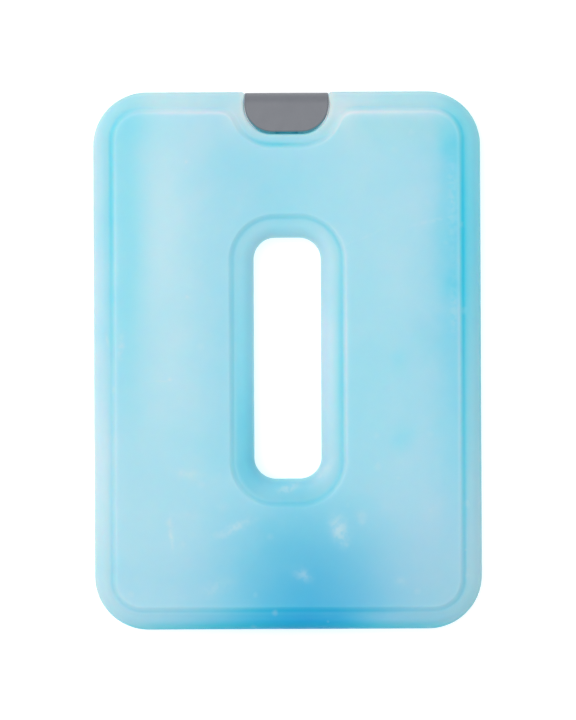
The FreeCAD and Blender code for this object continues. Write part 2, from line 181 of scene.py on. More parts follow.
@dataclass(frozen=True)
class Slope:
    """The moulded slope between rim and raised field, coved at its foot and rounded at its edge."""

    rise: float = 1.5
    run: float = 2.2
    cove: float = 2.0
    edge: float = 1.2
    steps: int = 4

    @property
    def angle(self) -> float:
        """Lean of the slope, in radians."""
        return math.atan2(self.rise, self.run)

    @property
    def cove_reach(self) -> float:
        """How far the cove starts before the foot."""
        return self.cove * math.tan(self.angle / 2)

    @property
    def edge_reach(self) -> float:
        """How far the rounding runs on beyond the edge."""
        return self.edge * math.tan(self.angle / 2)

    def profile(self) -> List[Tuple[float, float]]:
        """The slope's section.

        Returns:
            Pairs of distance in from the foot, and height above the rim.
        """
        turns = np.linspace(0.0, self.angle, self.steps + 1)
        foot = [(self.cove * math.sin(t) - self.cove_reach, self.cove * (1 - math.cos(t))) for t in turns]
        last = self.run + self.edge_reach
        edge = [(last - self.edge * math.sin(t), self.rise - self.edge * (1 - math.cos(t)))
                for t in turns[::-1]]
        return foot + edge


# The bottle's skin

@dataclass
class Ring:
    """One closed loop of the skin, with what the finish reads from it."""

    plan: np.ndarray
    level: np.ndarray
    edge_distance: np.ndarray


@dataclass
class Bottle:
    """The frosted bottle: rolled rim, notch for the cap, raised field, sunk ring and hand slot."""

    half_width: float = 92.0
    half_height: float = 127.75
    half_thickness: float = 9.5
    corner: float = 25.5
    roll: float = 6.05
    rim_width: float = 8.3
    rim_width_top: float = 8.0
    rim_width_bottom: float = 8.75
    corner_tightening: float = 2.2
    slot_half_width: float = 16.0
    slot_high: float = 58.45
    slot_low: float = -56.25
    slot_corner: float = 10.4
    ring_border: float = 9.6
    ring_half_height: float = 67.4
    notch_reach: float = 6.8
    notch_corner: float = 13.4
    notch_floor: float = 107.55
    notch_lip: float = 1.5
    lip_blend: float = 0.3
    notch_draft: float = 0.4
    draft_depths: Tuple[float, float] = (6.0, 13.0)
    mouth_round: float = 1.2
    dip_border: float = 4.8
    dip_shoulder: float = 9.3
    parting_proud: float = 0.1
    parting_half: float = 0.35
    parting_flat: float = 0.45
    waviness: float = 0.12
    wave_lengths: Tuple[float, float, float, float] = (11.0, 17.0, 14.0, 19.0)
    wave_fade: Tuple[float, float] = (0.5, 9.0)
    roll_steps: int = 9
    field_steps: int = 22
    field_crowding: float = 0.55
    wall_shares: Tuple[float, ...] = (0.0, 0.33, 0.66)
    flat_shares: Tuple[float, ...] = (0.35, 0.7)
    neck_radius: float = 5.5
    bead_radius: float = 6.0
    bore_radius: float = 3.9
    neck_top: float = 114.55
    neck_sink: float = 0.75
    bead_below_top: float = 1.7
    bead_height: float = 1.6
    neck_sides: int = 48
    neck_edge_distance: float = -12.0
    slope: Slope = field(default_factory=Slope)
    stations: Stations = field(default_factory=Stations)
    distances: ClassVar[Tuple[str, ...]] = ("edge_distance", "wall_distance", "notch_distance")

    @property
    def rim_level(self) -> float:
        """Level of the rim above the middle plane."""
        return self.half_thickness - self.slope.rise

    def rolled_outline(self, inset: float, lip: float) -> np.ndarray:
        """The outline, with the notch, moved inwards.

        Args:
            inset: How far in from the outer edge.
            lip: How far in from the notch's wall.

        Returns:
            The loop.
        """
        s = self.stations
        side, high = self.half_width - inset, self.half_height - inset
        bend = self.corner - inset
        across, up = self.half_width - self.corner, self.half_height - self.corner
        mouth = self.notch_reach + self.notch_corner + lip
        soft = self.mouth_round
        centre = (self.notch_reach, self.notch_floor + self.notch_corner)
        radius = self.notch_corner + lip
        start = high - soft
        wall = max(start - centre[1], 0.0)
        first = math.degrees(math.asin(min(start - centre[1], 0.0) / radius))
        arc = radius * math.radians(90 + first)
        wall_count = round(s.dip * wall / (wall + arc))
        half = np.vstack((
            line_points((0, -high), (across, -high), s.bottom),
            arc_points((across, -up), bend, -90, 0, s.corner),
            line_points((side, -up), (side, up), s.side),
            arc_points((across, up), bend, 0, 90, s.corner),
            line_points((across, high), (mouth + soft, high), s.top),
            arc_points((mouth + soft, start), soft, 90, 180, s.shoulder),
            line_points((mouth, start), (mouth, centre[1]), wall_count),
            arc_points(centre, radius, first, -90, s.dip - wall_count),
            line_points((self.notch_reach, self.notch_floor - lip), (0, self.notch_floor - lip), s.floor),
            [(0, self.notch_floor - lip)]))
        return both_sides(half)

    def field_outline(self, rise: float) -> np.ndarray:
        """The raised field's outline, which dips in a U round the notch.

        Args:
            rise: How far in from the foot of its slope.

        Returns:
            The loop.
        """
        s = self.stations
        side = self.half_width - self.rim_width - rise
        low = self.rim_width_bottom + rise - self.half_height
        high = self.half_height - self.rim_width_top - rise
        bend = self.corner - self.rim_width - self.corner_tightening - rise
        shoulder = self.dip_shoulder - rise
        dip = self.notch_corner + self.dip_border + rise
        middle = self.notch_floor + self.notch_corner
        drop = middle - (high - shoulder)
        away = self.notch_reach + math.sqrt((dip + shoulder) ** 2 - drop ** 2)
        lean = math.degrees(math.atan2(drop, away - self.notch_reach))
        across = side - bend
        half = np.vstack((
            line_points((0, low), (across, low), s.bottom),
            arc_points((across, low + bend), bend, -90, 0, s.corner),
            line_points((side, low + bend), (side, high - bend), s.side),
            arc_points((across, high - bend), bend, 0, 90, s.corner),
            line_points((across, high), (away, high), s.top),
            arc_points((away, high - shoulder), shoulder, 90, 180 - lean, s.shoulder),
            arc_points((self.notch_reach, middle), dip, -lean, -90, s.dip),
            line_points((self.notch_reach, middle - dip), (0, middle - dip), s.floor),
            [(0, middle - dip)]))
        return both_sides(half)

    @staticmethod
    def nearest_core(points: np.ndarray, half_width: float, high: float, low: float) -> np.ndarray:
        """The nearest points of a plain rectangle, from which a rounded one's outline is offset.

        Args:
            points: Points outside it.
            half_width: Half its width.
            high: Level of its top.
            low: Level of its bottom.

        Returns:
            One core point for each.
        """
        across = np.clip(points[:, 0], -half_width, half_width)
        return np.column_stack((across, np.clip(points[:, 1], low, high)))

    @staticmethod
    def outward(plan: np.ndarray) -> np.ndarray:
        """Direction out of a loop that runs anticlockwise, at each of its points.

        Args:
            plan: The loop's points.

        Returns:
            A unit vector for each.
        """
        along = np.roll(plan, -1, axis=0) - np.roll(plan, 1, axis=0)
        along /= np.linalg.norm(along, axis=1)[:, None]
        return np.column_stack((along[:, 1], -along[:, 0]))

    def rim_height(self, plan: np.ndarray) -> np.ndarray:
        """Level of the rim above the middle plane, rolled towards the outline and at the notch's lip.

        Args:
            plan: Points in plan.

        Returns:
            Each point's level.
        """
        rolled = roll_drop(self.outer_distance(plan), self.roll)
        lip = roll_drop(self.notch_distance(plan), self.notch_lip)
        return self.rim_level - smooth_largest(rolled, lip, self.lip_blend)

    def outer_distance(self, plan: np.ndarray) -> np.ndarray:
        """How far points stand in from the outer wall."""
        high = self.half_height
        return inside_rounded_rectangle(plan, self.half_width, high, -high, self.corner)

    def wall_distance(self, plan: np.ndarray) -> np.ndarray:
        """How far points stand from the outer wall or the slot's, whichever is nearer."""
        slot = inside_rounded_rectangle(plan, self.slot_half_width, self.slot_high, self.slot_low,
                                        self.slot_corner)
        return np.minimum(self.outer_distance(plan), -slot)

    def notch_distance(self, plan: np.ndarray) -> np.ndarray:
        """How far points stand from the notch's wall.

        Args:
            plan: Points in plan.

        Returns:
            Each point's distance.
        """
        centre = (self.notch_reach, self.notch_floor + self.notch_corner)
        x = np.abs(plan[:, 0])
        beside = x - centre[0] - self.notch_corner
        round_corner = np.hypot(np.maximum(x - centre[0], 0.0), plan[:, 1] - centre[1]) - self.notch_corner
        return np.where(plan[:, 1] > centre[1], beside, round_corner)

    def ripple(self, plan: np.ndarray) -> np.ndarray:
        """Slow unevenness of the moulded face, from 0 to 1.

        Args:
            plan: Points in plan.

        Returns:
            Each point's share of the waviness.
        """
        x, y = plan[:, 0], plan[:, 1]
        first, bend, second, second_bend = self.wave_lengths
        wave = np.sin(x / first + np.sin(y / bend)) * np.sin(y / second - np.sin(x / second_bend))
        return 0.5 + 0.5 * wave

    def wall_rings(self, wall: Ring, outwards: np.ndarray) -> List[Ring]:
        """The upright wall from the parting line up to a rolled edge, leaning out under the cap.

        Args:
            wall: The ring at its top.
            outwards: Direction out of the wall at each point.

        Returns:
            Rings from the middle plane upwards, without the top one.
        """
        line, plan = self.parting_half, wall.plan
        below = self.notch_floor + self.notch_corner - plan[:, 1]
        near = np.abs(self.notch_distance(plan)) < self.parting_proud
        draft = self.notch_draft * fade(below, *self.draft_depths) * (near & (below < 2 * self.notch_corner))
        proud = plan + outwards * (draft + self.parting_proud)[:, None]
        rings = [Ring(proud, np.full(len(plan), line * share), wall.edge_distance)
                 for share in (0.0, self.parting_flat)]
        for share in self.wall_shares:
            leaning = plan + outwards * (draft * (1 - share))[:, None]
            rings.append(Ring(leaning, line + (wall.level - line) * share, wall.edge_distance))
        return rings

    @property
    def turns(self) -> np.ndarray:
        """Angles of the rings on a rolled edge, from the wall up, in radians."""
        return np.radians(np.linspace(0, 90, self.roll_steps + 1))

    def rim_rings(self) -> List[Ring]:
        """The outer wall with the notch's, the rolled edge and the rim.

        Returns:
            Rings from the parting line to the slope's foot, which is left out.
        """
        foot = self.field_outline(-self.slope.cove_reach)
        plans = [self.rolled_outline(self.roll * share, self.notch_lip * share)
                 for share in 1 - np.cos(self.turns)]
        plans += [plans[-1] * (1 - share) + foot * share for share in self.flat_shares]
        rings = []
        for plan in plans:
            away = np.linalg.norm(plan - foot, axis=1) + self.slope.run + self.slope.cove_reach
            rings.append(Ring(plan, self.rim_height(plan), -away))
        return self.wall_rings(rings[0], self.outward(rings[0].plan)) + rings

    def field_rings(self) -> List[Ring]:
        """The raised field, with the slopes down to the rim and to the sunk ring.

        Returns:
            Rings from the outer slope's foot to the foot of the slope round the slot.
        """
        slope = self.slope
        rings = []
        for distance, height in slope.profile():
            plan = self.field_outline(distance)
            rings.append(Ring(plan, self.rim_height(plan) + height, np.full(len(plan), distance - slope.run)))
        edge = rings[-1].plan
        corner = self.slot_corner + self.ring_border
        core_half = self.ring_half_height - corner
        core = self.nearest_core(edge, self.slot_half_width - self.slot_corner, core_half, -core_half)
        towards = edge - core
        towards /= np.linalg.norm(towards, axis=1)[:, None]
        ring_edge = core + towards * (corner + slope.run + slope.edge_reach)
        even = np.linspace(0, 1, self.field_steps + 2)[1:-1]
        crowded = even - np.sin(2 * math.pi * even) / (2 * math.pi) * self.field_crowding
        for share in crowded:
            plan = edge * (1 - share) + ring_edge * share
            from_edge, from_ring = (np.linalg.norm(plan - end, axis=1) for end in (edge, ring_edge))
            away = np.minimum(from_edge, from_ring) + slope.edge_reach
            dip = self.waviness * self.ripple(plan) * fade(away, *self.wave_fade)
            rings.append(Ring(plan, self.half_thickness - dip, away))
        for distance, height in reversed(slope.profile()):
            plan = core + towards * (corner + distance)
            level = np.full(len(plan), self.rim_level + height)
            rings.append(Ring(plan, level, np.full(len(plan), distance - slope.run)))
        return rings

    def slot_rings(self, foot: np.ndarray) -> List[Ring]:
        """The flat of the sunk ring, the slot's rolled edge and its wall.

        Args:
            foot: Foot of the slope round the slot.

        Returns:
            Rings from the flat to the parting line in the slot.
        """
        across = self.slot_half_width - self.slot_corner
        core = self.nearest_core(foot, across, self.slot_high - self.slot_corner,
                                 self.slot_low + self.slot_corner)
        away = foot - core
        reach = np.linalg.norm(away, axis=1)
        away /= reach[:, None]
        room = reach - self.slot_corner
        offsets = [self.roll + (room - self.roll) * share for share in self.flat_shares[::-1]]
        offsets += [np.full(len(foot), self.roll * share) for share in 1 - np.cos(self.turns[::-1])]
        rings = []
        for offset in offsets:
            plan = core + away * (self.slot_corner + offset)[:, None]
            edge = offset - room - self.slope.run - self.slope.cove_reach
            rings.append(Ring(plan, self.rim_level - roll_drop(offset, self.roll), edge))
        return rings + self.wall_rings(rings[-1], -away)[::-1]

    def front_rings(self) -> List[Ring]:
        """The front half of the skin, from the outer parting line to the one in the slot."""
        rings = self.rim_rings() + self.field_rings()
        return rings + self.slot_rings(rings[-1].plan)

    def neck(self) -> Tuple[np.ndarray, List[Tuple[int, ...]]]:
        """The filler neck under the cap, with its snap bead and bore.

        Returns:
            Its points in millimetres from the middle plane, and its faces.
        """
        count = self.neck_sides
        root = self.notch_floor - self.neck_sink
        bead = self.neck_top - self.bead_below_top
        foot = bead - self.bead_height
        proud = self.bead_radius - self.neck_radius
        section = [(self.neck_radius, root), (self.neck_radius, foot), (self.bead_radius, foot + proud),
                   (self.bead_radius, bead - proud), (self.neck_radius, bead),
                   (self.neck_radius, self.neck_top), (self.bore_radius, self.neck_top),
                   (self.bore_radius, root)]
        angle = np.linspace(0, 2 * math.pi, count, endpoint=False)
        points = np.vstack([np.column_stack((r * np.cos(angle), np.full(count, y), r * np.sin(angle)))
                            for r, y in section])
        faces = []
        for row in range(len(section)):
            below, above = row * count, (row + 1) % len(section) * count
            for i in range(count):
                j = (i + 1) % count
                faces.append((below + i, above + i, above + j, below + j))
        return points, faces

    def build(self, finish: bpy.types.Material) -> bpy.types.Object:
        """Build the skin, mirrored behind the middle plane, and the neck: two closed meshes in one piece.

        Args:
            finish: Its material.

        Returns:
            The piece.
        """
        front = self.front_rings()
        back = [Ring(r.plan, -r.level, r.edge_distance) for r in front[-2:0:-1]]
        rings = front + back
        count = len(front[0].plan)
        points = np.vstack([np.column_stack((r.plan, r.level)) for r in rings])
        edge = np.concatenate([r.edge_distance for r in rings])
        start = np.arange(len(rings))[:, None] * count
        here = start + np.arange(count)
        ahead = start + np.roll(np.arange(count), -1)
        quads = np.stack((here, ahead, np.roll(ahead, -1, axis=0), np.roll(here, -1, axis=0)), axis=-1)
        faces = [tuple(int(n) for n in quad) for quad in quads.reshape(-1, 4)]
        neck_points, neck_faces = self.neck()
        faces += [tuple(len(points) + n for n in quad) for quad in neck_faces]
        edge = np.concatenate((edge, np.full(len(neck_points), self.neck_edge_distance)))
        points = np.vstack((points, neck_points))
        points[:, 2] += self.half_thickness
        piece = mesh_piece("frosted_bottle", points, faces, finish)
        plan = points[:, :2]
        for name, values in zip(self.distances, (edge, self.wall_distance(plan), self.notch_distance(plan))):
            attribute = piece.data.attributes.new(name, "FLOAT", "POINT")
            attribute.data.foreach_set("value", values.astype(np.float32))
        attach(piece, "root")
        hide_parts("shell")
        return piece


def mesh_piece(name: str, points: np.ndarray, faces: List[Tuple[int, ...]],
               finish: bpy.types.Material) -> bpy.types.Object:
    """Make a smooth mesh object with its normals outwards.

    Args:
        name: Name of the piece.
        points: Its points in millimetres.
        faces: Its faces.
        finish: Its material.

    Returns:
        The object, linked to the scene.
    """
    mesh = bpy.data.meshes.new(name)
    mesh.from_pydata((points * MM).tolist(), [], faces)
    mesh.validate()
    piece = bpy.data.objects.new(name, mesh)
    bpy.context.scene.collection.objects.link(piece)
    mesh.materials.append(finish)
    mesh.shade_smooth()
    return piece


# Shader node trees

class NodeSheet:
    """A node tree under construction, with short calls that add a node and feed it."""

    def __init__(self, tree: bpy.types.NodeTree) -> None:
        """Take the tree to build in."""
        self.tree = tree

    def add(self, kind: str, feeds: Optional[Dict[Union[str, int], Feed]] = None,
            **settings: object) -> bpy.types.Node:
        """Add a node.

        Args:
            kind: Its type, such as "ShaderNodeMath".
            feeds: Values or sockets for its inputs, by name or number.
            **settings: Its own properties.

        Returns:
            The node.
        """
        node = self.tree.nodes.new(kind)
        for name, setting in settings.items():
            setattr(node, name, setting)
        for name, feed in (feeds or {}).items():
            self.feed(node.inputs[name], feed)
        return node

    def feed(self, socket: bpy.types.NodeSocket, feed: Feed) -> None:
        """Link a socket, or set its value."""
        if isinstance(feed, bpy.types.NodeSocket):
            self.tree.links.new(feed, socket)
        else:
            socket.default_value = feed

    def math(self, operation: str, *feeds: Feed, clamp: bool = False) -> bpy.types.NodeSocket:
        """A sum on numbers; the feeds fill its inputs in order."""
        node = self.add("ShaderNodeMath", dict(enumerate(feeds)), operation=operation, use_clamp=clamp)
        return node.outputs[0]

    def vector(self, operation: str, *feeds: Feed) -> bpy.types.NodeSocket:
        """A sum on vectors that gives a vector."""
        return self.add("ShaderNodeVectorMath", dict(enumerate(feeds)), operation=operation).outputs["Vector"]

    def part(self, position: Feed, axis: str) -> bpy.types.NodeSocket:
        """One coordinate of a position."""
        return self.add("ShaderNodeSeparateXYZ", {0: position}).outputs[axis]

    def scaled(self, vector: Feed, factor: Feed) -> bpy.types.NodeSocket:
        """A vector times a number."""
        node = self.add("ShaderNodeVectorMath", {0: vector, "Scale": factor}, operation="SCALE")
        return node.outputs["Vector"]

    def fall_off(self, square: Feed) -> bpy.types.NodeSocket:
        """1 where a squared distance is zero, falling smoothly to zero away from it."""
        return self.math("EXPONENT", self.math("MULTIPLY", square, -1.0))

    def round_fall_off(self, away: Feed, half_size: Feed) -> bpy.types.NodeSocket:
        """1 where a vector is zero, falling smoothly to zero beyond the half size.

        Args:
            away: The vector.
            half_size: How far it reaches along each axis.

        Returns:
            The socket that carries the result.
        """
        share = self.vector("DIVIDE", away, half_size)
        square = self.add("ShaderNodeVectorMath", {0: share, 1: share}, operation="DOT_PRODUCT")
        return self.fall_off(square.outputs["Value"])

    def noise(self, position: Feed, scale: Feed, detail: float = 3.0, roughness: float = 0.5,
              distortion: float = 0.0) -> bpy.types.Node:
        """Add a noise texture.

        Args:
            position: Where it is read.
            scale: Cells to a millimetre.
            detail: Octaves.
            roughness: Strength of the finer octaves.
            distortion: How far it is swirled.

        Returns:
            The node.
        """
        feeds = {"Vector": position, "Scale": scale, "Detail": detail, "Roughness": roughness,
                 "Distortion": distortion}
        return self.add("ShaderNodeTexNoise", feeds)

    def ramp(self, value: Feed, low: float, high: float, first: float = 0.0,
             last: float = 1.0) -> bpy.types.NodeSocket:
        """Carry a value smoothly from one range to another.

        Args:
            value: The value.
            low: Where the range starts.
            high: Where it ends.
            first: Result at the start.
            last: Result at the end.

        Returns:
            The socket that carries the result.
        """
        feeds = {"Value": value, "From Min": low, "From Max": high, "To Min": first, "To Max": last}
        return self.add("ShaderNodeMapRange", feeds, interpolation_type="SMOOTHSTEP").outputs["Result"]

    def blend(self, share: Feed, first: Feed, second: Feed) -> bpy.types.NodeSocket:
        """Mix two colours.

        Args:
            share: Share of the second.
            first: First colour.
            second: Second colour.

        Returns:
            The mixed colour.
        """
        node = self.add("ShaderNodeMix", {"Factor": share}, data_type="RGBA")
        self.feed(node.inputs[6], first)
        self.feed(node.inputs[7], second)
        return node.outputs[2]


class GroupKind(Enum):
    """Types of socket on a shader group."""

    NUMBER = "NodeSocketFloat"
    COLOUR = "NodeSocketColor"
    VECTOR = "NodeSocketVector"


@dataclass
class EffectGroup:
    """A shader group built once, and placed in each material with its own values."""

    name: str
    inputs: Dict[str, GroupKind]
    outputs: Dict[str, GroupKind]
    fill: Callable[[NodeSheet, bpy.types.Node], Sockets]

    def tree(self) -> bpy.types.NodeTree:
        """The group's tree, built at its first use.

        Returns:
            The tree.
        """
        made = bpy.data.node_groups.get(self.name)
        if made:
            return made
        tree = bpy.data.node_groups.new(self.name, "ShaderNodeTree")
        for name, kind in self.inputs.items():
            tree.interface.new_socket(name, in_out="INPUT", socket_type=kind.value)
        for name, kind in self.outputs.items():
            tree.interface.new_socket(name, in_out="OUTPUT", socket_type=kind.value)
        sheet = NodeSheet(tree)
        entry = sheet.add("NodeGroupInput")
        sheet.add("NodeGroupOutput", self.fill(sheet, entry))
        return tree

    def place(self, sheet: NodeSheet, **feeds: Feed) -> bpy.types.Node:
        """Place the group in a material.

        Args:
            sheet: The material's sheet.
            **feeds: Values or sockets for its inputs, with _ for each space.

        Returns:
            The group's node.
        """
        node = sheet.add("ShaderNodeGroup", node_tree=self.tree())
        for name, feed in feeds.items():
            sheet.feed(node.inputs[name.replace("_", " ")], feed)
        return node


def fill_tint(sheet: NodeSheet, entry: bpy.types.Node) -> Sockets:
    """Light that has gone through more coolant comes back bluer: red is taken first, blue last. Clear
    ice under the wall takes only the red, and cloudy ice, below zero, gives it back. Thicker plastic
    takes only the blue.

    Args:
        sheet: The group\'s sheet.
        entry: Its input node.

    Returns:
        Its outputs by name.
    """
    parts = sheet.add("ShaderNodeSeparateColor", {0: entry.outputs["Clear Colour"]})
    losses = {"Depth": (-1.0, -0.3, -0.14), "Clear Ice": (-1.0, -0.04, 0.0), "Thick Wall": (0.0, 0.0, -1.0)}
    palest = 0.92
    kept = []
    for channel, part in enumerate(parts.outputs):
        lost = 0.0
        for name, loss in losses.items():
            lost = sheet.math("MULTIPLY_ADD", entry.outputs[name], loss[channel], lost)
        shown = sheet.math("MULTIPLY", part, sheet.math("EXPONENT", lost))
        kept.append(sheet.math("MINIMUM", shown, palest))
    return {"Colour": sheet.add("ShaderNodeCombineColor", dict(enumerate(kept))).outputs[0]}


def fill_patch(sheet: NodeSheet, entry: bpy.types.Node) -> Sockets:
    """A soft round patch, 1 in its middle.

    Args:
        sheet: The group\'s sheet.
        entry: Its input node.

    Returns:
        Its outputs by name.
    """
    away = sheet.vector("SUBTRACT", entry.outputs["Position"], entry.outputs["Centre"])
    return {"Mask": sheet.round_fall_off(away, entry.outputs["Half Size"])}


def fill_mark(sheet: NodeSheet, entry: bpy.types.Node) -> Sockets:
    """A leaning streak or crust of frost, broken up where its crystals leave gaps.

    Args:
        sheet: The group\'s sheet.
        entry: Its input node.

    Returns:
        Its outputs by name.
    """
    away = sheet.vector("SUBTRACT", entry.outputs["Position"], entry.outputs["Centre"])
    turned = sheet.add("ShaderNodeVectorRotate", {"Vector": away, "Angle": entry.outputs["Lean"]},
                       rotation_type="Z_AXIS", invert=True).outputs["Vector"]
    soft = sheet.round_fall_off(turned, entry.outputs["Half Size"])
    broken = sheet.math("MULTIPLY", entry.outputs["Gaps"], entry.outputs["Breakup"])
    return {"Mask": sheet.math("MULTIPLY", soft, sheet.math("SUBTRACT", 1.0, broken))}


def fill_bell(sheet: NodeSheet, entry: bpy.types.Node) -> Sockets:
    """A soft band of values, 1 in its middle.

    Args:
        sheet: The group\'s sheet.
        entry: Its input node.

    Returns:
        Its outputs by name.
    """
    away = sheet.math("SUBTRACT", entry.outputs["Value"], entry.outputs["Centre"])
    share = sheet.math("DIVIDE", away, entry.outputs["Width"])
    return {"Mask": sheet.fall_off(sheet.math("MULTIPLY", share, share))}


def fill_clouds(sheet: NodeSheet, entry: bpy.types.Node) -> Sockets:
    """Slow cloudiness, from about -1 to 1, and a swirl that carries soft shapes off their course.

    Args:
        sheet: The group\'s sheet.
        entry: Its input node.

    Returns:
        Its outputs by name.
    """
    position = entry.outputs["Position"]
    slow = sheet.noise(position, entry.outputs["Scale"], detail=3.0, roughness=0.55, distortion=0.4)
    signed = sheet.math("MULTIPLY_ADD", slow.outputs["Fac"], 2.0, -1.0)
    shift = sheet.vector("SUBTRACT", slow.outputs["Color"], (0.5, 0.5, 0.5))
    carried = sheet.vector("ADD", position, sheet.scaled(shift, entry.outputs["Swirl"]))
    return {"Cloud": signed, "Carried Position": carried}


def fill_flecks(sheet: NodeSheet, entry: bpy.types.Node) -> Sockets:
    """Small soft round spots, a share of the cells holding one each.

    Args:
        sheet: The group\'s sheet.
        entry: Its input node.

    Returns:
        Its outputs by name.
    """
    feeds = {"Vector": entry.outputs["Position"], "Scale": entry.outputs["Scale"]}
    cells = sheet.add("ShaderNodeTexVoronoi", feeds)
    chance = sheet.add("ShaderNodeSeparateColor", {0: cells.outputs["Color"]})
    there = sheet.math("LESS_THAN", chance.outputs[0], entry.outputs["Amount"])
    smallest, spread = 0.08, 0.3
    radius = sheet.math("MULTIPLY_ADD", chance.outputs[1], spread, smallest)
    spot = sheet.ramp(sheet.math("DIVIDE", cells.outputs["Distance"], radius), 1.0, 0.1)
    return {"Mask": sheet.math("MULTIPLY", spot, there)}


def fill_grain(sheet: NodeSheet, entry: bpy.types.Node) -> Sockets:
    """The fine frosted texture of the mould, as a height and a mask.

    Args:
        sheet: The group\'s sheet.
        entry: Its input node.

    Returns:
        Its outputs by name.
    """
    coarseness, coarse_share = 0.17, 1.4
    position, scale = entry.outputs["Position"], entry.outputs["Scale"]
    fine = sheet.noise(position, scale, detail=4.0, roughness=0.65)
    coarse = sheet.noise(position, sheet.math("MULTIPLY", scale, coarseness), detail=2.0)
    height = sheet.math("MULTIPLY_ADD", coarse.outputs["Fac"], coarse_share, fine.outputs["Fac"])
    return {"Height": height, "Mask": coarse.outputs["Fac"]}


NUMBER, COLOUR, VECTOR = GroupKind.NUMBER, GroupKind.COLOUR, GroupKind.VECTOR
PLACED = {"Position": VECTOR, "Centre": VECTOR, "Half Size": VECTOR}
MASK = {"Mask": NUMBER}
TINT = EffectGroup("coolant_tint", {"Depth": NUMBER, "Clear Ice": NUMBER, "Thick Wall": NUMBER,
                                    "Clear Colour": COLOUR}, {"Colour": COLOUR}, fill_tint)
PATCH = EffectGroup("soft_patch", PLACED, MASK, fill_patch)
MARK = EffectGroup("frost_mark", {**PLACED, "Lean": NUMBER, "Gaps": NUMBER, "Breakup": NUMBER}, MASK,
                   fill_mark)
BELL = EffectGroup("soft_band", {"Value": NUMBER, "Centre": NUMBER, "Width": NUMBER}, MASK, fill_bell)
CLOUDS = EffectGroup("slow_clouds", {"Position": VECTOR, "Scale": NUMBER, "Swirl": NUMBER},
                     {"Cloud": NUMBER, "Carried Position": VECTOR}, fill_clouds)
FLECKS = EffectGroup("frost_flecks", {"Position": VECTOR, "Scale": NUMBER, "Amount": NUMBER}, MASK,
                     fill_flecks)
GRAIN = EffectGroup("mould_grain", {"Position": VECTOR, "Scale": NUMBER}, {"Height": NUMBER, **MASK},
                    fill_grain)


def new_finish(name: str) -> Tuple[bpy.types.Material, NodeSheet, bpy.types.Node, bpy.types.NodeSocket]:
    """Start a material.

    Args:
        name: Its name.

    Returns:
        The material, its sheet, its Principled shader and the position in millimetres.
    """
    material = bpy.data.materials.new(name)
    material.use_nodes = True
    material.node_tree.nodes.clear()
    sheet = NodeSheet(material.node_tree)
    shader = sheet.add("ShaderNodeBsdfPrincipled")
    sheet.add("ShaderNodeOutputMaterial", {"Surface": shader.outputs["BSDF"]})
    where = sheet.add("ShaderNodeTexCoord").outputs["Object"]
    return material, sheet, shader, sheet.scaled(where, 1 / MM)


def carried_distance(sheet: NodeSheet, name: str) -> bpy.types.NodeSocket:
    """One of the distances that the bottle's mesh carries, in millimetres."""
    return sheet.add("ShaderNodeAttribute", attribute_name=name).outputs["Fac"]


def soft_patch(sheet: NodeSheet, position: Feed, middle: Tuple[float, float],
               half_size: Tuple[float, float], label: str) -> bpy.types.NodeSocket:
    """Place a soft patch that reaches through the whole thickness.

    Args:
        sheet: The material's sheet.
        position: Position in millimetres.
        middle: Middle of the patch.
        half_size: How far it reaches, across and up the pack.
        label: What it stands for.

    Returns:
        The socket that carries its mask.
    """
    patch = PATCH.place(sheet, Position=position, Centre=(*middle, 0.0),
                        Half_Size=(*half_size, EVERY_DEPTH))
    patch.label = label
    return patch.outputs["Mask"]


@dataclass(frozen=True)
class Grain:
    """The mould's grain on one piece: cells to a millimetre, relief in metres, and range of roughness."""

    scale: float
    strength: float
    height: float
    roughness: Tuple[float, float]
    spread: ClassVar[Tuple[float, float]] = (0.3, 0.7)

    def place(self, sheet: NodeSheet, shader: bpy.types.Node, position: bpy.types.NodeSocket) -> Sockets:
        """Give a shader the grain's relief and uneven gloss.

        Args:
            sheet: The material's sheet.
            shader: Its Principled shader.
            position: Position in millimetres.

        Returns:
            The sockets that carry the grain's height and the roughness.
        """
        grain = GRAIN.place(sheet, Position=position, Scale=self.scale)
        feeds = {"Strength": self.strength, "Distance": self.height, "Height": grain.outputs["Height"]}
        sheet.feed(shader.inputs["Normal"], sheet.add("ShaderNodeBump", feeds).outputs["Normal"])
        rough = sheet.ramp(grain.outputs["Mask"], *self.spread, *self.roughness)
        sheet.feed(shader.inputs["Roughness"], rough)
        return {"height": grain.outputs["Height"], "roughness": rough}


# Finishes

class Zone(Enum):
    """Where on the bottle a region shows."""

    ALL = "everywhere, carried off a little by the slow clouds"
    FIXED = "everywhere, just where it is set"
    FRONT = "on the front, just where it is set"
    RIM = "outside the field's foot, and in the ring round the slot"
    CREASE = "along the slope below the field's edge"
    FOOT = "on the rim and the ring beside the slope's foot"
    EDGE = "along the field's rounded edge"
    OUTLINE = "on the front's last millimetre before the outline and the slot's wall"
    LIP = "on the notch's wall and its lip"


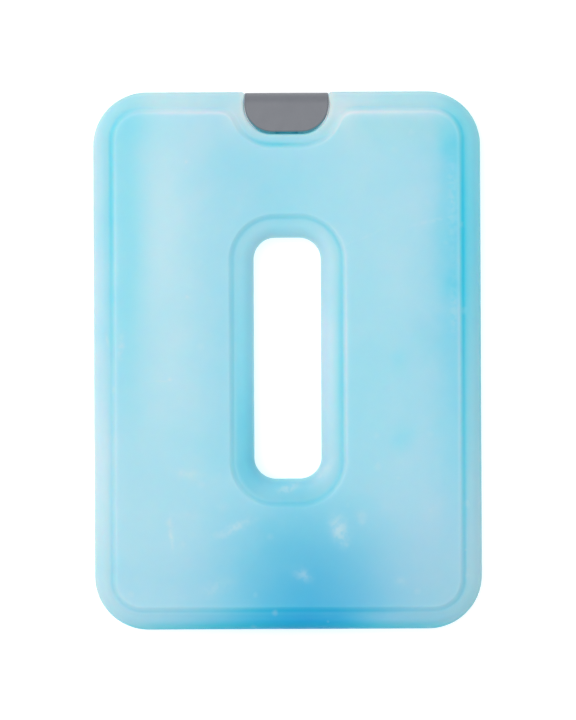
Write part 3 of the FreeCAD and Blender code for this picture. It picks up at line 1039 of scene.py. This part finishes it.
@dataclass(frozen=True)
class ZoneLimits:
    """Where each zone begins and is full, or a band's middle and width, in millimetres from the middle
    plane, from the field's edge, from the nearest wall or from the notch's wall."""

    face: Tuple[float, float] = (1.0, 4.0)
    rim: Tuple[float, float] = (-2.0, -4.5)
    crease_band: Tuple[float, float] = (-1.9, 1.25)
    foot: Tuple[float, float] = (-7.0, -2.5)
    foot_end: Tuple[float, float] = (-0.8, -2.0)
    edge_band: Tuple[float, float] = (0.0, 1.1)
    outline: Tuple[float, float] = (1.6, 0.4)
    lip: Tuple[float, float] = (1.0, 0.1)

    def masks(self, sheet: NodeSheet, position: bpy.types.NodeSocket) -> Dict[Zone, bpy.types.NodeSocket]:
        """Masks of all the zones but the two that show everywhere; most of them place painted light and shade
        along the relief.

        Args:
            sheet: The material's sheet.
            position: Position in millimetres.

        Returns:
            The socket that carries each zone's mask.
        """
        from_edge, from_wall, from_notch = (carried_distance(sheet, name) for name in Bottle.distances)
        from_middle = sheet.math("SUBTRACT", sheet.part(position, "Z"), Bottle.half_thickness)
        front = sheet.ramp(from_middle, *self.face)
        either_face = sheet.ramp(sheet.math("ABSOLUTE", from_middle), *self.face)
        crease, edge = (BELL.place(sheet, Value=from_edge, Centre=middle, Width=width).outputs["Mask"]
                        for middle, width in (self.crease_band, self.edge_band))
        foot, foot_end = (sheet.ramp(from_edge, *limits) for limits in (self.foot, self.foot_end))
        return {
            Zone.FRONT: front,
            Zone.RIM: sheet.math("MULTIPLY", either_face, sheet.ramp(from_edge, *self.rim)),
            Zone.CREASE: crease,
            Zone.FOOT: sheet.math("MULTIPLY", foot, foot_end),
            Zone.EDGE: edge,
            Zone.OUTLINE: sheet.math("MULTIPLY", front, sheet.ramp(from_wall, *self.outline)),
            Zone.LIP: sheet.ramp(from_notch, *self.lip),
        }


@dataclass(frozen=True)
class Region:
    """A soft-edged region where the charge shows deeper, its ice clearer or the wall thicker. In the zones
    along the relief the same amounts carry painted light and shade.
    """

    what: str
    middle: Tuple[float, float]
    half_size: Tuple[float, float]
    depth: float = 0.0
    ice: float = 0.0
    wall: float = 0.0


def charge_regions() -> Dict[Zone, Tuple[Region, ...]]:
    """The charge's deep, clear and clouded places, and the painted light and shade along the relief, by the
    zone that they show in.
    """
    return {
        Zone.ALL: (
            Region("pale left leg", (-58.0, 60.0), (14.0, 90.0), depth=-0.16),
            Region("clear ice inside the left edge", (-76.0, 62.0), (8.0, 75.0), ice=0.38),
            Region("charge left of the slot", (-14.0, 50.0), (24.0, 95.0), depth=0.14),
            Region("clear ice above the slot", (2.0, 84.0), (24.0, 24.0), ice=0.15),
            Region("cloudy ice high on the left", (-36.0, 100.0), (12.0, 22.0), ice=-0.1),
            Region("clear ice left of the slot", (-32.0, -12.0), (10.0, 50.0), depth=0.06, ice=0.1),
            Region("clear ice right of the slot", (34.0, -5.0), (18.0, 55.0), ice=0.15),
            # Painted shade: the right side is darkened and blued, as the light falls from the left
            Region("painted shade along the right edge", (88.0, 40.0), (22.0, 110.0), depth=0.36),
            Region("clear ice inside the right edge", (81.0, 72.0), (8.0, 58.0), ice=0.55),
            Region("clear ice low inside the right edge", (79.0, -32.0), (7.0, 42.0), ice=0.16),
            Region("clear spot high on the right", (79.0, 100.0), (5.0, 6.0), ice=0.3),
            Region("clear spot half way on the right", (79.0, 35.0), (5.0, 6.0), ice=0.3),
            Region("bubble beside the slot", (53.5, 0.0), (5.0, 5.0), ice=0.18),
            Region("bubble below it", (56.0, -38.0), (5.5, 5.5), ice=0.2),
            Region("bubble high on the left", (-33.5, 93.0), (6.0, 9.0), ice=0.1),
            Region("bubble low on the left", (-50.0, -32.0), (9.0, 10.0), ice=0.08),
            Region("deep charge across the bottom", (8.0, -128.0), (66.0, 42.0), depth=0.62),
            Region("deep charge low in the middle", (14.0, -120.0), (30.0, 30.0), depth=0.56, ice=0.04,
                   wall=-0.05),
            Region("clear ice low in the middle", (7.0, -116.0), (24.0, 13.0), ice=0.32),
            Region("deep charge under the slot", (3.0, -88.0), (36.0, 28.0), depth=0.34, ice=0.26),
            Region("deep charge low on the right", (70.0, -100.0), (45.0, 45.0), depth=0.2, ice=-0.28),
            Region("cloudy ice low on the left", (-45.0, -100.0), (24.0, 30.0), ice=-0.12),
        ),
        Zone.FIXED: (
            Region("top left corner", (-72.0, 112.0), (14.0, 9.0), ice=0.2),
            Region("top right of the field", (50.0, 111.0), (42.0, 9.0), wall=0.04),
            # Painted highlight along the top edge, which faces the light
            Region("painted highlight inside the top edge, right", (52.0, 116.6), (33.0, 2.2), depth=-0.05,
                   ice=-0.14),
            Region("painted highlight inside the top edge, left", (-50.0, 117.0), (33.0, 2.0), ice=-0.05),
            Region("bottom right corner", (84.0, -116.0), (26.0, 26.0), depth=0.06, wall=0.03),
            Region("bottom left corner", (-82.0, -117.0), (15.0, 14.0), ice=-0.1),
        ),
        Zone.FRONT: (
            # Painted shade along the bottom edge, which faces down away from the light
            Region("painted shade on the bottom rim, last millimetres", (4.0, -126.4), (60.0, 1.9), ice=1.5, wall=0.1),
        ),
        Zone.RIM: (
            # Mostly painted light and shade by the way each side faces: the rim and ring are painted paler
            # where they face up or left, and darker and bluer where they face down or right
            Region("right rim, upper half", (90.0, 72.0), (12.0, 60.0), depth=-0.03, ice=0.31, wall=-0.02),
            Region("top rim, right", (56.0, 124.0), (15.0, 6.0), ice=0.06),
            Region("pale top rim beside the cap", (33.0, 124.0), (9.0, 6.0), ice=-0.08),
            Region("rim under the cap", (0.0, 104.5), (22.0, 4.0), depth=0.05, ice=0.16, wall=-0.06),
            Region("bottom rim", (0.0, -126.0), (76.0, 12.0), depth=0.5, ice=0.12, wall=-0.05),
            Region("bottom rim, middle", (4.0, -124.0), (27.0, 9.0), depth=0.05, ice=1.2),
            Region("bottom rim, right", (42.0, -124.0), (14.0, 9.0), depth=-0.25, ice=-0.16),
            Region("left rim, lower half", (-90.0, -50.0), (12.0, 70.0), depth=-0.12, ice=0.02),
            Region("left rim", (-90.0, 20.0), (9.0, 100.0), ice=-0.02, wall=-0.045),
            Region("painted shade at the left slope's foot", (-85.0, 66.0), (3.0, 62.0), ice=0.25),
            Region("right rim, lower half", (90.0, -60.0), (12.0, 60.0), depth=0.1),
            Region("slot's left border", (-22.0, -12.0), (8.0, 58.0), depth=0.05, ice=0.45),
            Region("slot's left border, lower half", (-20.0, -34.0), (10.0, 20.0), depth=0.2, ice=0.12),
            Region("slot's lower left border", (-17.0, -54.0), (11.0, 12.0), depth=0.35, ice=0.1),
            Region("slot's right border", (22.0, 10.0), (8.0, 55.0), depth=-0.15, ice=0.04),
            Region("slot's top border", (0.0, 63.0), (16.0, 7.0), ice=0.18),
            Region("slot's bottom border", (0.0, -61.0), (16.0, 8.0), depth=0.1, ice=0.2),
            Region("slot's borders", (0.0, 0.0), (32.0, 78.0), wall=-0.06),
            Region("slot's right wall", (17.5, 5.0), (2.5, 55.0), ice=-0.15, wall=-0.03),
        ),
        Zone.CREASE: (
            # Painted shade in the crease at the slopes' foot, deepest on the right and bottom slopes, and
            # painted highlights on the slopes that face up and on the one right of the slot
            Region("left slope, upper half", (-84.0, 80.0), (9.0, 52.0), ice=0.5),
            Region("left slope, lower half", (-84.0, -40.0), (9.0, 60.0), depth=-0.12),
            Region("right slope, upper half", (84.0, 58.0), (9.0, 52.0), depth=-0.15, ice=1.0),
            Region("right slope, lower half", (84.0, -40.0), (9.0, 60.0), depth=-0.06, ice=0.4),
            Region("bottom slope", (5.0, -118.0), (32.0, 8.0), ice=1.3),
            Region("slope round the slot", (0.0, 0.0), (36.0, 76.0), depth=-0.1, ice=0.26),
            Region("slope right of the slot", (27.0, 0.0), (7.0, 60.0), ice=-0.25),
            Region("slope under the cap", (-6.0, 102.5), (10.0, 5.0), ice=0.5),
            Region("dip's slope, right", (23.0, 110.0), (8.0, 10.0), depth=-0.15, ice=-0.15),
            Region("dip's slope, left", (-24.0, 112.0), (7.0, 10.0), depth=-0.2, ice=-0.12),
            Region("top slope, left", (-52.0, 118.0), (32.0, 8.0), depth=-0.15, ice=-0.2),
            Region("top slope, right", (52.0, 118.0), (32.0, 8.0), depth=-0.15, ice=-0.15),
        ),
        Zone.FOOT: (
            # Painted shade along the foot of the slopes on the right
            Region("foot right of the slot", (27.0, 0.0), (9.0, 62.0), ice=0.42),
            Region("right foot, upper half", (86.0, 62.0), (9.0, 58.0), ice=0.45),
            Region("right foot, lower half", (86.0, -40.0), (9.0, 60.0), ice=0.15),
        ),
        Zone.EDGE: (
            # Painted highlights along the field's rounded edge
            Region("top edge of the field", (0.0, 119.0), (72.0, 7.0), depth=-0.05, ice=-0.28),
            Region("dip's edge, right", (25.0, 107.0), (10.0, 12.0), depth=-0.05, ice=-0.15),
            Region("left edge of the field", (-82.0, 0.0), (9.0, 120.0), ice=-0.1),
            Region("right edge of the field", (82.0, 40.0), (8.0, 90.0), depth=-0.1, ice=-0.35),
            Region("field's edge right of the slot", (27.0, 0.0), (8.0, 60.0), ice=-0.28),
        ),
        Zone.OUTLINE: (
            # Painted shade on the front's last millimetre round the outline, darkest along the bottom
            Region("outline, bottom", (0.0, -127.0), (85.0, 12.0), depth=0.85, ice=0.4, wall=-0.03),
            Region("outline, right", (92.0, 0.0), (9.0, 125.0), depth=0.4, ice=0.1),
            Region("outline, top", (0.0, 128.0), (90.0, 9.0), depth=0.35, ice=-0.2),
        ),
        Zone.LIP: (
            # Painted shade in the gap under the cap
            Region("painted shade on the notch's wall under the cap", (0.0, 108.3), (15.0, 1.5), depth=1.9, ice=0.1, wall=0.2),
        ),
    }


@dataclass(frozen=True)
class FrostMark:
    """A pale streak or crust of frost against the inside of the wall."""

    what: str
    middle: Tuple[float, float]
    half_size: Tuple[float, float]
    lean: float
    strength: float
    breakup: float


@dataclass(frozen=True)
class FrostedBottleFinish:
    """Satin translucent plastic over the frozen charge, whose blue shows through it unevenly, with painted
    light and shade along its relief, a painted highlight on the notch's lip and a painted glow at its wall.
    """

    clear: Colour = (0.62, 0.785, 0.885)
    # Pale frost colour, also used for the painted highlight on the notch's lip
    frost: Colour = (0.70, 0.82, 0.87)
    base_depth: float = 0.0
    base_ice: float = 0.3
    rim_depth: float = 0.03
    rim_ice: float = -0.15
    # Painted shade along the slope and painted highlight along the field's edge
    crease_painted_shade: float = 0.15
    edge_painted_highlight: float = -0.05
    rim_wall: float = 0.045
    outline_wall: float = 0.06
    cloud_depth: float = 0.05
    cloud_ice: float = 0.13
    mottle_ice: float = 0.07
    slow_clouds: Tuple[float, float] = (0.028, 9.0)
    small_clouds: Tuple[float, float] = (0.11, 3.0)
    fleck_frost: float = 0.17
    fleck_scale: float = 0.12
    fleck_amount: float = 0.15
    more_flecks: float = 0.4
    flecked_place: Tuple[Tuple[float, float], Tuple[float, float]] = ((15.0, -90.0), (70.0, 45.0))
    crystal_scale: float = 0.32
    crystal_gaps: Tuple[float, float] = (0.6, 0.36)
    # Painted highlight along the notch's lip: its band, and how it grows up the notch's sides
    lip_highlight_band: Tuple[float, float] = (1.0, 1.4)
    lip_highlight_rise: Tuple[float, float] = (109.0, 116.0)
    lip_painted_highlight: Tuple[float, float] = (0.15, 0.5)
    # Painted glow at the notch's wall, and the distances from the wall over which it fades out
    lip_painted_glow: float = 0.1
    painted_glow_fade: Tuple[float, float] = (0.8, 0.1)
    grain: Grain = Grain(1.6, 0.12, 0.0002, (0.40, 0.51))
    scatter_share: float = 0.9
    scatter_radius: Tuple[float, float, float] = (0.35, 0.8, 1.0)
    scatter_scale: float = 0.0045
    refraction: float = 1.5
    specular: float = 0.25
    limits: ZoneLimits = ZoneLimits()
    regions: Dict[Zone, Tuple[Region, ...]] = field(default_factory=charge_regions)
    marks: Tuple[FrostMark, ...] = (
        FrostMark("wing left of the cap", (-25.5, 117.0), (5.0, 8.0), -12.0, 0.45, 0.0),
        FrostMark("wing right of the cap", (25.5, 118.0), (5.5, 8.0), 12.0, 0.6, 0.0),
        FrostMark("crust beside the bare panel", (24.0, -80.5), (3.6, 6.0), 15.0, 0.6, 0.5),
        FrostMark("streak over the bare panel", (-26.0, -79.5), (9.0, 2.0), 25.0, 0.5, 0.6),
        FrostMark("streak in the left leg", (-47.5, -53.5), (5.5, 2.4), -8.0, 0.5, 0.5),
        FrostMark("scuff in the left leg", (-55.5, -82.0), (1.0, 6.5), 4.0, 0.6, 0.7),
        FrostMark("scuff by the left edge", (-79.0, 7.0), (1.4, 6.0), 0.0, 0.45, 0.7),
        FrostMark("speck high in the left leg", (-47.6, 94.2), (0.8, 0.8), 0.0, 0.45, 0.0),
        FrostMark("speck in the left leg", (-47.6, 29.9), (0.8, 0.8), 0.0, 0.45, 0.0),
        FrostMark("speck at the scratch's end", (-56.0, -8.7), (0.8, 0.8), 0.0, 0.5, 0.0),
        FrostMark("speck on the left slope", (-83.1, -13.1), (0.7, 1.0), 0.0, 0.35, 0.0),
        FrostMark("speck on the left rim", (-85.1, 9.7), (0.6, 2.2), 0.0, 0.4, 0.2),
        FrostMark("cloudy spot right of the slot's foot", (34.5, -73.6), (2.4, 2.6), 0.0, 0.2, 0.3),
        FrostMark("cloudy spot low on the right", (53.5, -104.5), (2.6, 2.6), 0.0, 0.2, 0.3),
        FrostMark("cloudy spot low in the right leg", (46.4, -68.8), (2.6, 3.0), 0.0, 0.14, 0.3),
        FrostMark("cloudy streak low in the left leg", (-47.6, -73.6), (7.0, 2.4), 0.0, 0.15, 0.5),
        FrostMark("cloudy spot left of the slot's foot", (-31.0, -68.8), (3.0, 2.0), 0.0, 0.16, 0.3),
        FrostMark("scratch in the left leg", (-59.0, -9.5), (5.0, 0.5), 6.0, 0.3, 0.4),
        FrostMark("scratch in the right leg", (67.0, 65.5), (9.0, 0.8), 14.0, 0.22, 0.8),
        FrostMark("scratch beside the slot's top", (37.0, 58.5), (10.0, 0.7), 24.0, 0.18, 0.8),
        FrostMark("frost inside the right edge, high", (78.5, 76.0), (2.2, 22.0), 0.0, 0.22, 0.8),
        FrostMark("frost inside the right edge, low", (79.0, 24.0), (2.0, 14.0), 0.0, 0.22, 0.8),
        FrostMark("streak in the slot's border", (17.0, -53.0), (1.5, 6.5), -40.0, 0.55, 0.5),
        FrostMark("crust below the slot", (0.0, -60.5), (5.0, 1.8), 20.0, 0.45, 0.6),
        FrostMark("frost left of the bare panel", (-35.0, -108.0), (7.0, 3.0), 20.0, 0.2, 0.6),
        FrostMark("frost below the bare panel", (7.0, -102.0), (4.0, 2.5), -25.0, 0.3, 0.6),
    )

    def tint(self, sheet: NodeSheet, position: bpy.types.NodeSocket,
             carried: bpy.types.NodeSocket, cloud: bpy.types.NodeSocket,
             mottle: bpy.types.NodeSocket) -> bpy.types.NodeSocket:
        """The charge's colour as it shows through the wall, with painted light and shade along the relief
        added in the same sums.

        Args:
            sheet: The material's sheet.
            position: Position in millimetres.
            carried: The same, carried off by the slow clouds.
            cloud: The slow cloudiness.
            mottle: The small cloudiness.

        Returns:
            The socket that carries the colour.
        """
        zones = self.limits.masks(sheet, position)
        depth = sheet.math("MULTIPLY_ADD", cloud, self.cloud_depth, self.base_depth)
        depth = sheet.math("MULTIPLY_ADD", zones[Zone.RIM], self.rim_depth, depth)
        ice = sheet.math("MULTIPLY_ADD", cloud, self.cloud_ice, self.base_ice)
        ice = sheet.math("MULTIPLY_ADD", mottle, self.mottle_ice, ice)
        # Painted shade on the slope and painted highlight on the field's edge, beside the rim's own paler
        # tint
        amounts = {Zone.RIM: self.rim_ice, Zone.CREASE: self.crease_painted_shade, Zone.EDGE: self.edge_painted_highlight}
        for zone, amount in amounts.items():
            ice = sheet.math("MULTIPLY_ADD", zones[zone], amount, ice)
        wall = sheet.math("MULTIPLY", zones[Zone.RIM], self.rim_wall)
        wall = sheet.math("MULTIPLY_ADD", zones[Zone.OUTLINE], self.outline_wall, wall)
        sums = {"depth": depth, "ice": ice, "wall": wall}
        for zone, regions in self.regions.items():
            where = carried if zone is Zone.ALL else position
            for region in regions:
                mask = soft_patch(sheet, where, region.middle, region.half_size, region.what)
                if zone in zones:
                    mask = sheet.math("MULTIPLY", mask, zones[zone])
                for name in sums:
                    if getattr(region, name):
                        sums[name] = sheet.math("MULTIPLY_ADD", mask, getattr(region, name), sums[name])
        tint = TINT.place(sheet, Depth=sums["depth"], Clear_Ice=sums["ice"], Thick_Wall=sums["wall"],
                          Clear_Colour=(*self.clear, 1.0))
        return tint.outputs["Colour"]

    def frosted(self, sheet: NodeSheet, position: bpy.types.NodeSocket,
                wandering: bpy.types.NodeSocket) -> bpy.types.NodeSocket:
        """How much the wall is whitened: a painted highlight along the notch's lip, and frost in scattered
        flecks, streaks and crusts.

        Args:
            sheet: The material's sheet.
            position: Position in millimetres.
            wandering: The same, carried off by the small cloudiness.

        Returns:
            The socket that carries the share of frost.
        """
        # Painted highlight along the notch's lip, stronger up its sides
        from_notch = carried_distance(sheet, "notch_distance")
        middle, width = self.lip_highlight_band
        lip = BELL.place(sheet, Value=from_notch, Centre=middle, Width=width).outputs["Mask"]
        beside = sheet.ramp(sheet.part(position, "Y"), *self.lip_highlight_rise, *self.lip_painted_highlight)
        frost = sheet.math("MULTIPLY", lip, beside)
        flecked = soft_patch(sheet, position, *self.flecked_place, "more flecks low down")
        amount = sheet.math("MULTIPLY_ADD", flecked, self.more_flecks, self.fleck_amount)
        flecks = FLECKS.place(sheet, Position=wandering, Scale=self.fleck_scale, Amount=amount)
        frost = sheet.math("MULTIPLY_ADD", flecks.outputs["Mask"], self.fleck_frost, frost)
        crystals = sheet.noise(wandering, self.crystal_scale, detail=2.0, roughness=0.45)
        gaps = sheet.ramp(crystals.outputs["Fac"], *self.crystal_gaps)
        for mark in self.marks:
            placed = MARK.place(sheet, Position=wandering, Centre=(*mark.middle, 0.0),
                                Half_Size=(*mark.half_size, EVERY_DEPTH), Lean=math.radians(mark.lean),
                                Gaps=gaps, Breakup=mark.breakup)
            placed.label = mark.what
            frost = sheet.math("MULTIPLY_ADD", placed.outputs["Mask"], mark.strength, frost)
        return frost

    def build(self) -> bpy.types.Material:
        """Build the material.

        Returns:
            The material.
        """
        material, sheet, shader, position = new_finish("frosted_bottle")
        slow, small = (CLOUDS.place(sheet, Position=position, Scale=scale, Swirl=swirl)
                       for scale, swirl in (self.slow_clouds, self.small_clouds))
        tint = self.tint(sheet, position, slow.outputs["Carried Position"], slow.outputs["Cloud"],
                         small.outputs["Cloud"])
        # The pale share holds the frost and the painted highlight on the notch's lip
        frost = self.frosted(sheet, position, small.outputs["Carried Position"])
        sheet.feed(shader.inputs["Base Color"], sheet.blend(frost, tint, (*self.frost, 1.0)))
        # Painted glow: the notch's wall and lip emit their own tint, standing in for light carried through
        # the wall into the gap round the cap
        from_notch = carried_distance(sheet, "notch_distance")
        sheet.feed(shader.inputs["Emission Color"], tint)
        sheet.feed(shader.inputs["Emission Strength"],
                   sheet.ramp(from_notch, *self.painted_glow_fade, 0.0, self.lip_painted_glow))
        self.grain.place(sheet, shader, position)
        shader.inputs["Subsurface Weight"].default_value = self.scatter_share
        shader.inputs["Subsurface Radius"].default_value = self.scatter_radius
        shader.inputs["Subsurface Scale"].default_value = self.scatter_scale
        shader.inputs["IOR"].default_value = self.refraction
        shader.inputs["Specular IOR Level"].default_value = self.specular
        return material


@dataclass(frozen=True)
class FrozenChargeFinish:
    """The frozen blue gel, clouded with ice."""

    clear: Colour = (0.45, 0.80, 0.90)
    ice: Colour = (0.72, 0.88, 0.93)
    cloud_scale: float = 0.03
    swirl: float = 10.0
    depth: float = 1.1
    cloud_depth: float = 0.9
    fleck_scale: float = 0.2
    fleck_amount: float = 0.8
    grain: Grain = Grain(0.8, 0.3, 0.0004, (0.2, 0.4))

    def build(self) -> bpy.types.Material:
        """Build the material.

        Returns:
            The material.
        """
        material, sheet, shader, position = new_finish("frozen_charge")
        clouds = CLOUDS.place(sheet, Position=position, Scale=self.cloud_scale, Swirl=self.swirl)
        depth = sheet.math("MULTIPLY_ADD", clouds.outputs["Cloud"], self.cloud_depth, self.depth)
        tint = TINT.place(sheet, Depth=depth, Clear_Colour=(*self.clear, 1.0)).outputs["Colour"]
        flecks = FLECKS.place(sheet, Position=clouds.outputs["Carried Position"], Scale=self.fleck_scale,
                              Amount=self.fleck_amount)
        colour = sheet.blend(flecks.outputs["Mask"], tint, (*self.ice, 1.0))
        sheet.feed(shader.inputs["Base Color"], colour)
        self.grain.place(sheet, shader, position)
        return material


@dataclass(frozen=True)
class MouldedFinish:
    """Plain moulded plastic with a fine grain, clouded by a paler worn colour. Its lower sides may get
    painted shade and a painted glow, standing in for light that the wall it stands in passes to them."""

    name: str
    colour: Colour
    worn: Colour
    grain: Grain
    # Painted glow and painted shade for the lower sides, standing in for light through the bottle's wall
    side_painted_glow: Optional[Colour] = None
    side_painted_shade: Colour = (0.02, 0.03, 0.035)
    side_roughness: float = 0.5
    side_limits: Tuple[float, float] = (7.7, 7.1)
    painted_glow_below: Tuple[float, float] = (119.0, 111.0)
    cloud_scale: float = 0.09
    swirl: float = 3.0
    worn_range: Tuple[float, float] = (-0.6, 0.9)
    worn_share: float = 0.35
    speck_range: Tuple[float, float] = (1.1, 1.5)
    speck_share: float = 0.12

    def painted_glow_sides(self, sheet: NodeSheet, position: bpy.types.NodeSocket) -> bpy.types.NodeSocket:
        """Mask of the lower sides, without the front and back faces, which get the painted shade and glow.

        Args:
            sheet: The material's sheet.
            position: Position in millimetres.

        Returns:
            The socket that carries the mask.
        """
        level = sheet.math("SUBTRACT", sheet.part(position, "Z"), Bottle.half_thickness)
        side = sheet.ramp(sheet.math("ABSOLUTE", level), *self.side_limits)
        low = sheet.ramp(sheet.part(position, "Y"), *self.painted_glow_below)
        return sheet.math("MULTIPLY", side, low)

    def build(self) -> bpy.types.Material:
        """Build the material.

        Returns:
            The material.
        """
        material, sheet, shader, position = new_finish(self.name)
        clouds = CLOUDS.place(sheet, Position=position, Scale=self.cloud_scale, Swirl=self.swirl)
        grain = self.grain.place(sheet, shader, position)
        worn = sheet.ramp(clouds.outputs["Cloud"], *self.worn_range, 0.0, self.worn_share)
        speck = sheet.math("MULTIPLY", sheet.ramp(grain["height"], *self.speck_range), self.speck_share)
        share = sheet.math("ADD", worn, speck)
        colour = sheet.blend(share, (*self.colour, 1.0), (*self.worn, 1.0))
        if self.side_painted_glow:
            # Painted shade and glow: the lower sides are darkened and emit teal, standing in for light
            # through the bottle's wall
            painted_glow_share = self.painted_glow_sides(sheet, position)
            colour = sheet.blend(painted_glow_share, colour, (*self.side_painted_shade, 1.0))
            sheet.feed(shader.inputs["Emission Strength"], painted_glow_share)
            shader.inputs["Emission Color"].default_value = (*self.side_painted_glow, 1.0)
            dulled = sheet.math("MULTIPLY_ADD", painted_glow_share, self.side_roughness, grain["roughness"], clamp=True)
            sheet.feed(shader.inputs["Roughness"], dulled)
        sheet.feed(shader.inputs["Base Color"], colour)
        return material


@dataclass
class InnerParts:
    """The charge, the plug and the cap, whose solids stay and get their finishes."""

    charge: FrozenChargeFinish = FrozenChargeFinish()
    plug: MouldedFinish = MouldedFinish("natural_plug", (0.72, 0.76, 0.77), (0.80, 0.83, 0.84),
                                        Grain(1.5, 0.15, 0.0001, (0.41, 0.50)))
    # The cap's lower sides get painted shade and a painted teal glow
    cap: MouldedFinish = MouldedFinish("grey_cap", (0.172, 0.182, 0.208), (0.225, 0.235, 0.26),
                                       Grain(2.2, 0.25, 0.0001, (0.41, 0.50)),
                                       side_painted_glow=(0.05, 0.23, 0.29))

    def dress(self) -> None:
        """Put each finish in its solid's slots."""
        for node, finish in (("coolant", self.charge), ("filler_plug", self.plug), ("cap", self.cap)):
            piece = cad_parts[node]
            material = finish.build()
            for slot in piece.material_slots:
                slot.material = material
            log.info("%s dressed", node)


@dataclass(frozen=True)
class SoftLight:
    """A square studio light."""

    name: str
    place: Tuple[float, float, float]
    side: float
    power: float

    def build(self, target: Vector) -> None:
        """Hang the light.

        Args:
            target: Where it points.
        """
        data = bpy.data.lights.new(self.name, "AREA")
        data.shape = "SQUARE"
        data.size = self.side
        data.energy = self.power
        lamp = bpy.data.objects.new(self.name, data)
        lamp.location = self.place
        lamp.rotation_euler = (target - Vector(self.place)).to_track_quat("-Z", "Y").to_euler()
        bpy.context.scene.collection.objects.link(lamp)


@dataclass
class Studio:
    """Pale table, soft lights and a camera that looks straight down."""

    table_half: float = 4.0
    camera_height: float = 2.0
    seen_height: float = 0.3427
    camera_shift: Tuple[float, float] = (0.0002, 0.0002)
    sensor: float = 36.0
    camera_roll: float = -0.25
    world_strength: float = 0.5
    view_reach: float = 20.0
    tone_scale: float = 0.004
    table_tones: Tuple[Colour, Colour] = ((0.88, 0.885, 0.89), (0.90, 0.90, 0.90))
    table_roughness: float = 0.6
    table_glow: float = 0.42
    lit_place: Tuple[float, float, float] = (0.0, 0.0, 0.01)
    lights: Tuple[SoftLight, ...] = (
        SoftLight("key_light", (-1.2, 0.75, 1.6), 1.3, 9.0),
        SoftLight("overhead_light", (-0.2, 0.1, 3.0), 2.4, 34.5),
    )

    def build_table(self) -> bpy.types.Object:
        """Build the table.

        Returns:
            The table top.
        """
        material, sheet, shader, position = new_finish("pale_table")
        tone = sheet.noise(position, self.tone_scale, detail=2.0)
        first, second = self.table_tones
        colour = sheet.blend(tone.outputs["Fac"], (*first, 1.0), (*second, 1.0))
        sheet.feed(shader.inputs["Base Color"], colour)
        shader.inputs["Roughness"].default_value = self.table_roughness
        shader.inputs["Emission Color"].default_value = WHITE
        shader.inputs["Emission Strength"].default_value = self.table_glow
        half = self.table_half / MM
        points = np.array([(-half, -half, 0), (half, -half, 0), (half, half, 0), (-half, half, 0)], float)
        table = mesh_piece("table_top", points, [(0, 1, 2, 3)], material)
        return table

    def build_camera(self) -> None:
        """Hang the camera over the pack, with the photograph's frame."""
        data = bpy.data.cameras.new("camera")
        data.sensor_fit = "VERTICAL"
        data.sensor_height = self.sensor
        data.lens = self.sensor * self.camera_height / self.seen_height
        data.clip_end = self.view_reach
        camera = bpy.data.objects.new("camera", data)
        camera.location = (*self.camera_shift, self.camera_height + Bottle.half_thickness * MM)
        camera.rotation_euler = (0.0, 0.0, math.radians(self.camera_roll))
        bpy.context.scene.collection.objects.link(camera)
        bpy.context.scene.camera = camera

    def build(self) -> None:
        """Build the whole studio."""
        scene = bpy.context.scene
        world = bpy.data.worlds.new("studio")
        world.use_nodes = True
        background = world.node_tree.nodes["Background"]
        background.inputs["Color"].default_value = WHITE
        background.inputs["Strength"].default_value = self.world_strength
        scene.world = world
        scene.view_settings.view_transform = "Standard"
        self.build_table()
        for light in self.lights:
            light.build(Vector(self.lit_place))
        self.build_camera()


def main() -> None:
    """Build the studio and each piece in order."""
    logging.basicConfig(level=logging.INFO, format="%(message)s")
    Studio().build()
    bottle = Bottle().build(FrostedBottleFinish().build())
    log.info("%s has %d faces", bottle.name, len(bottle.data.polygons))
    InnerParts().dress()
    bpy.context.view_layer.update()


if __name__ == "__main__":
    main()
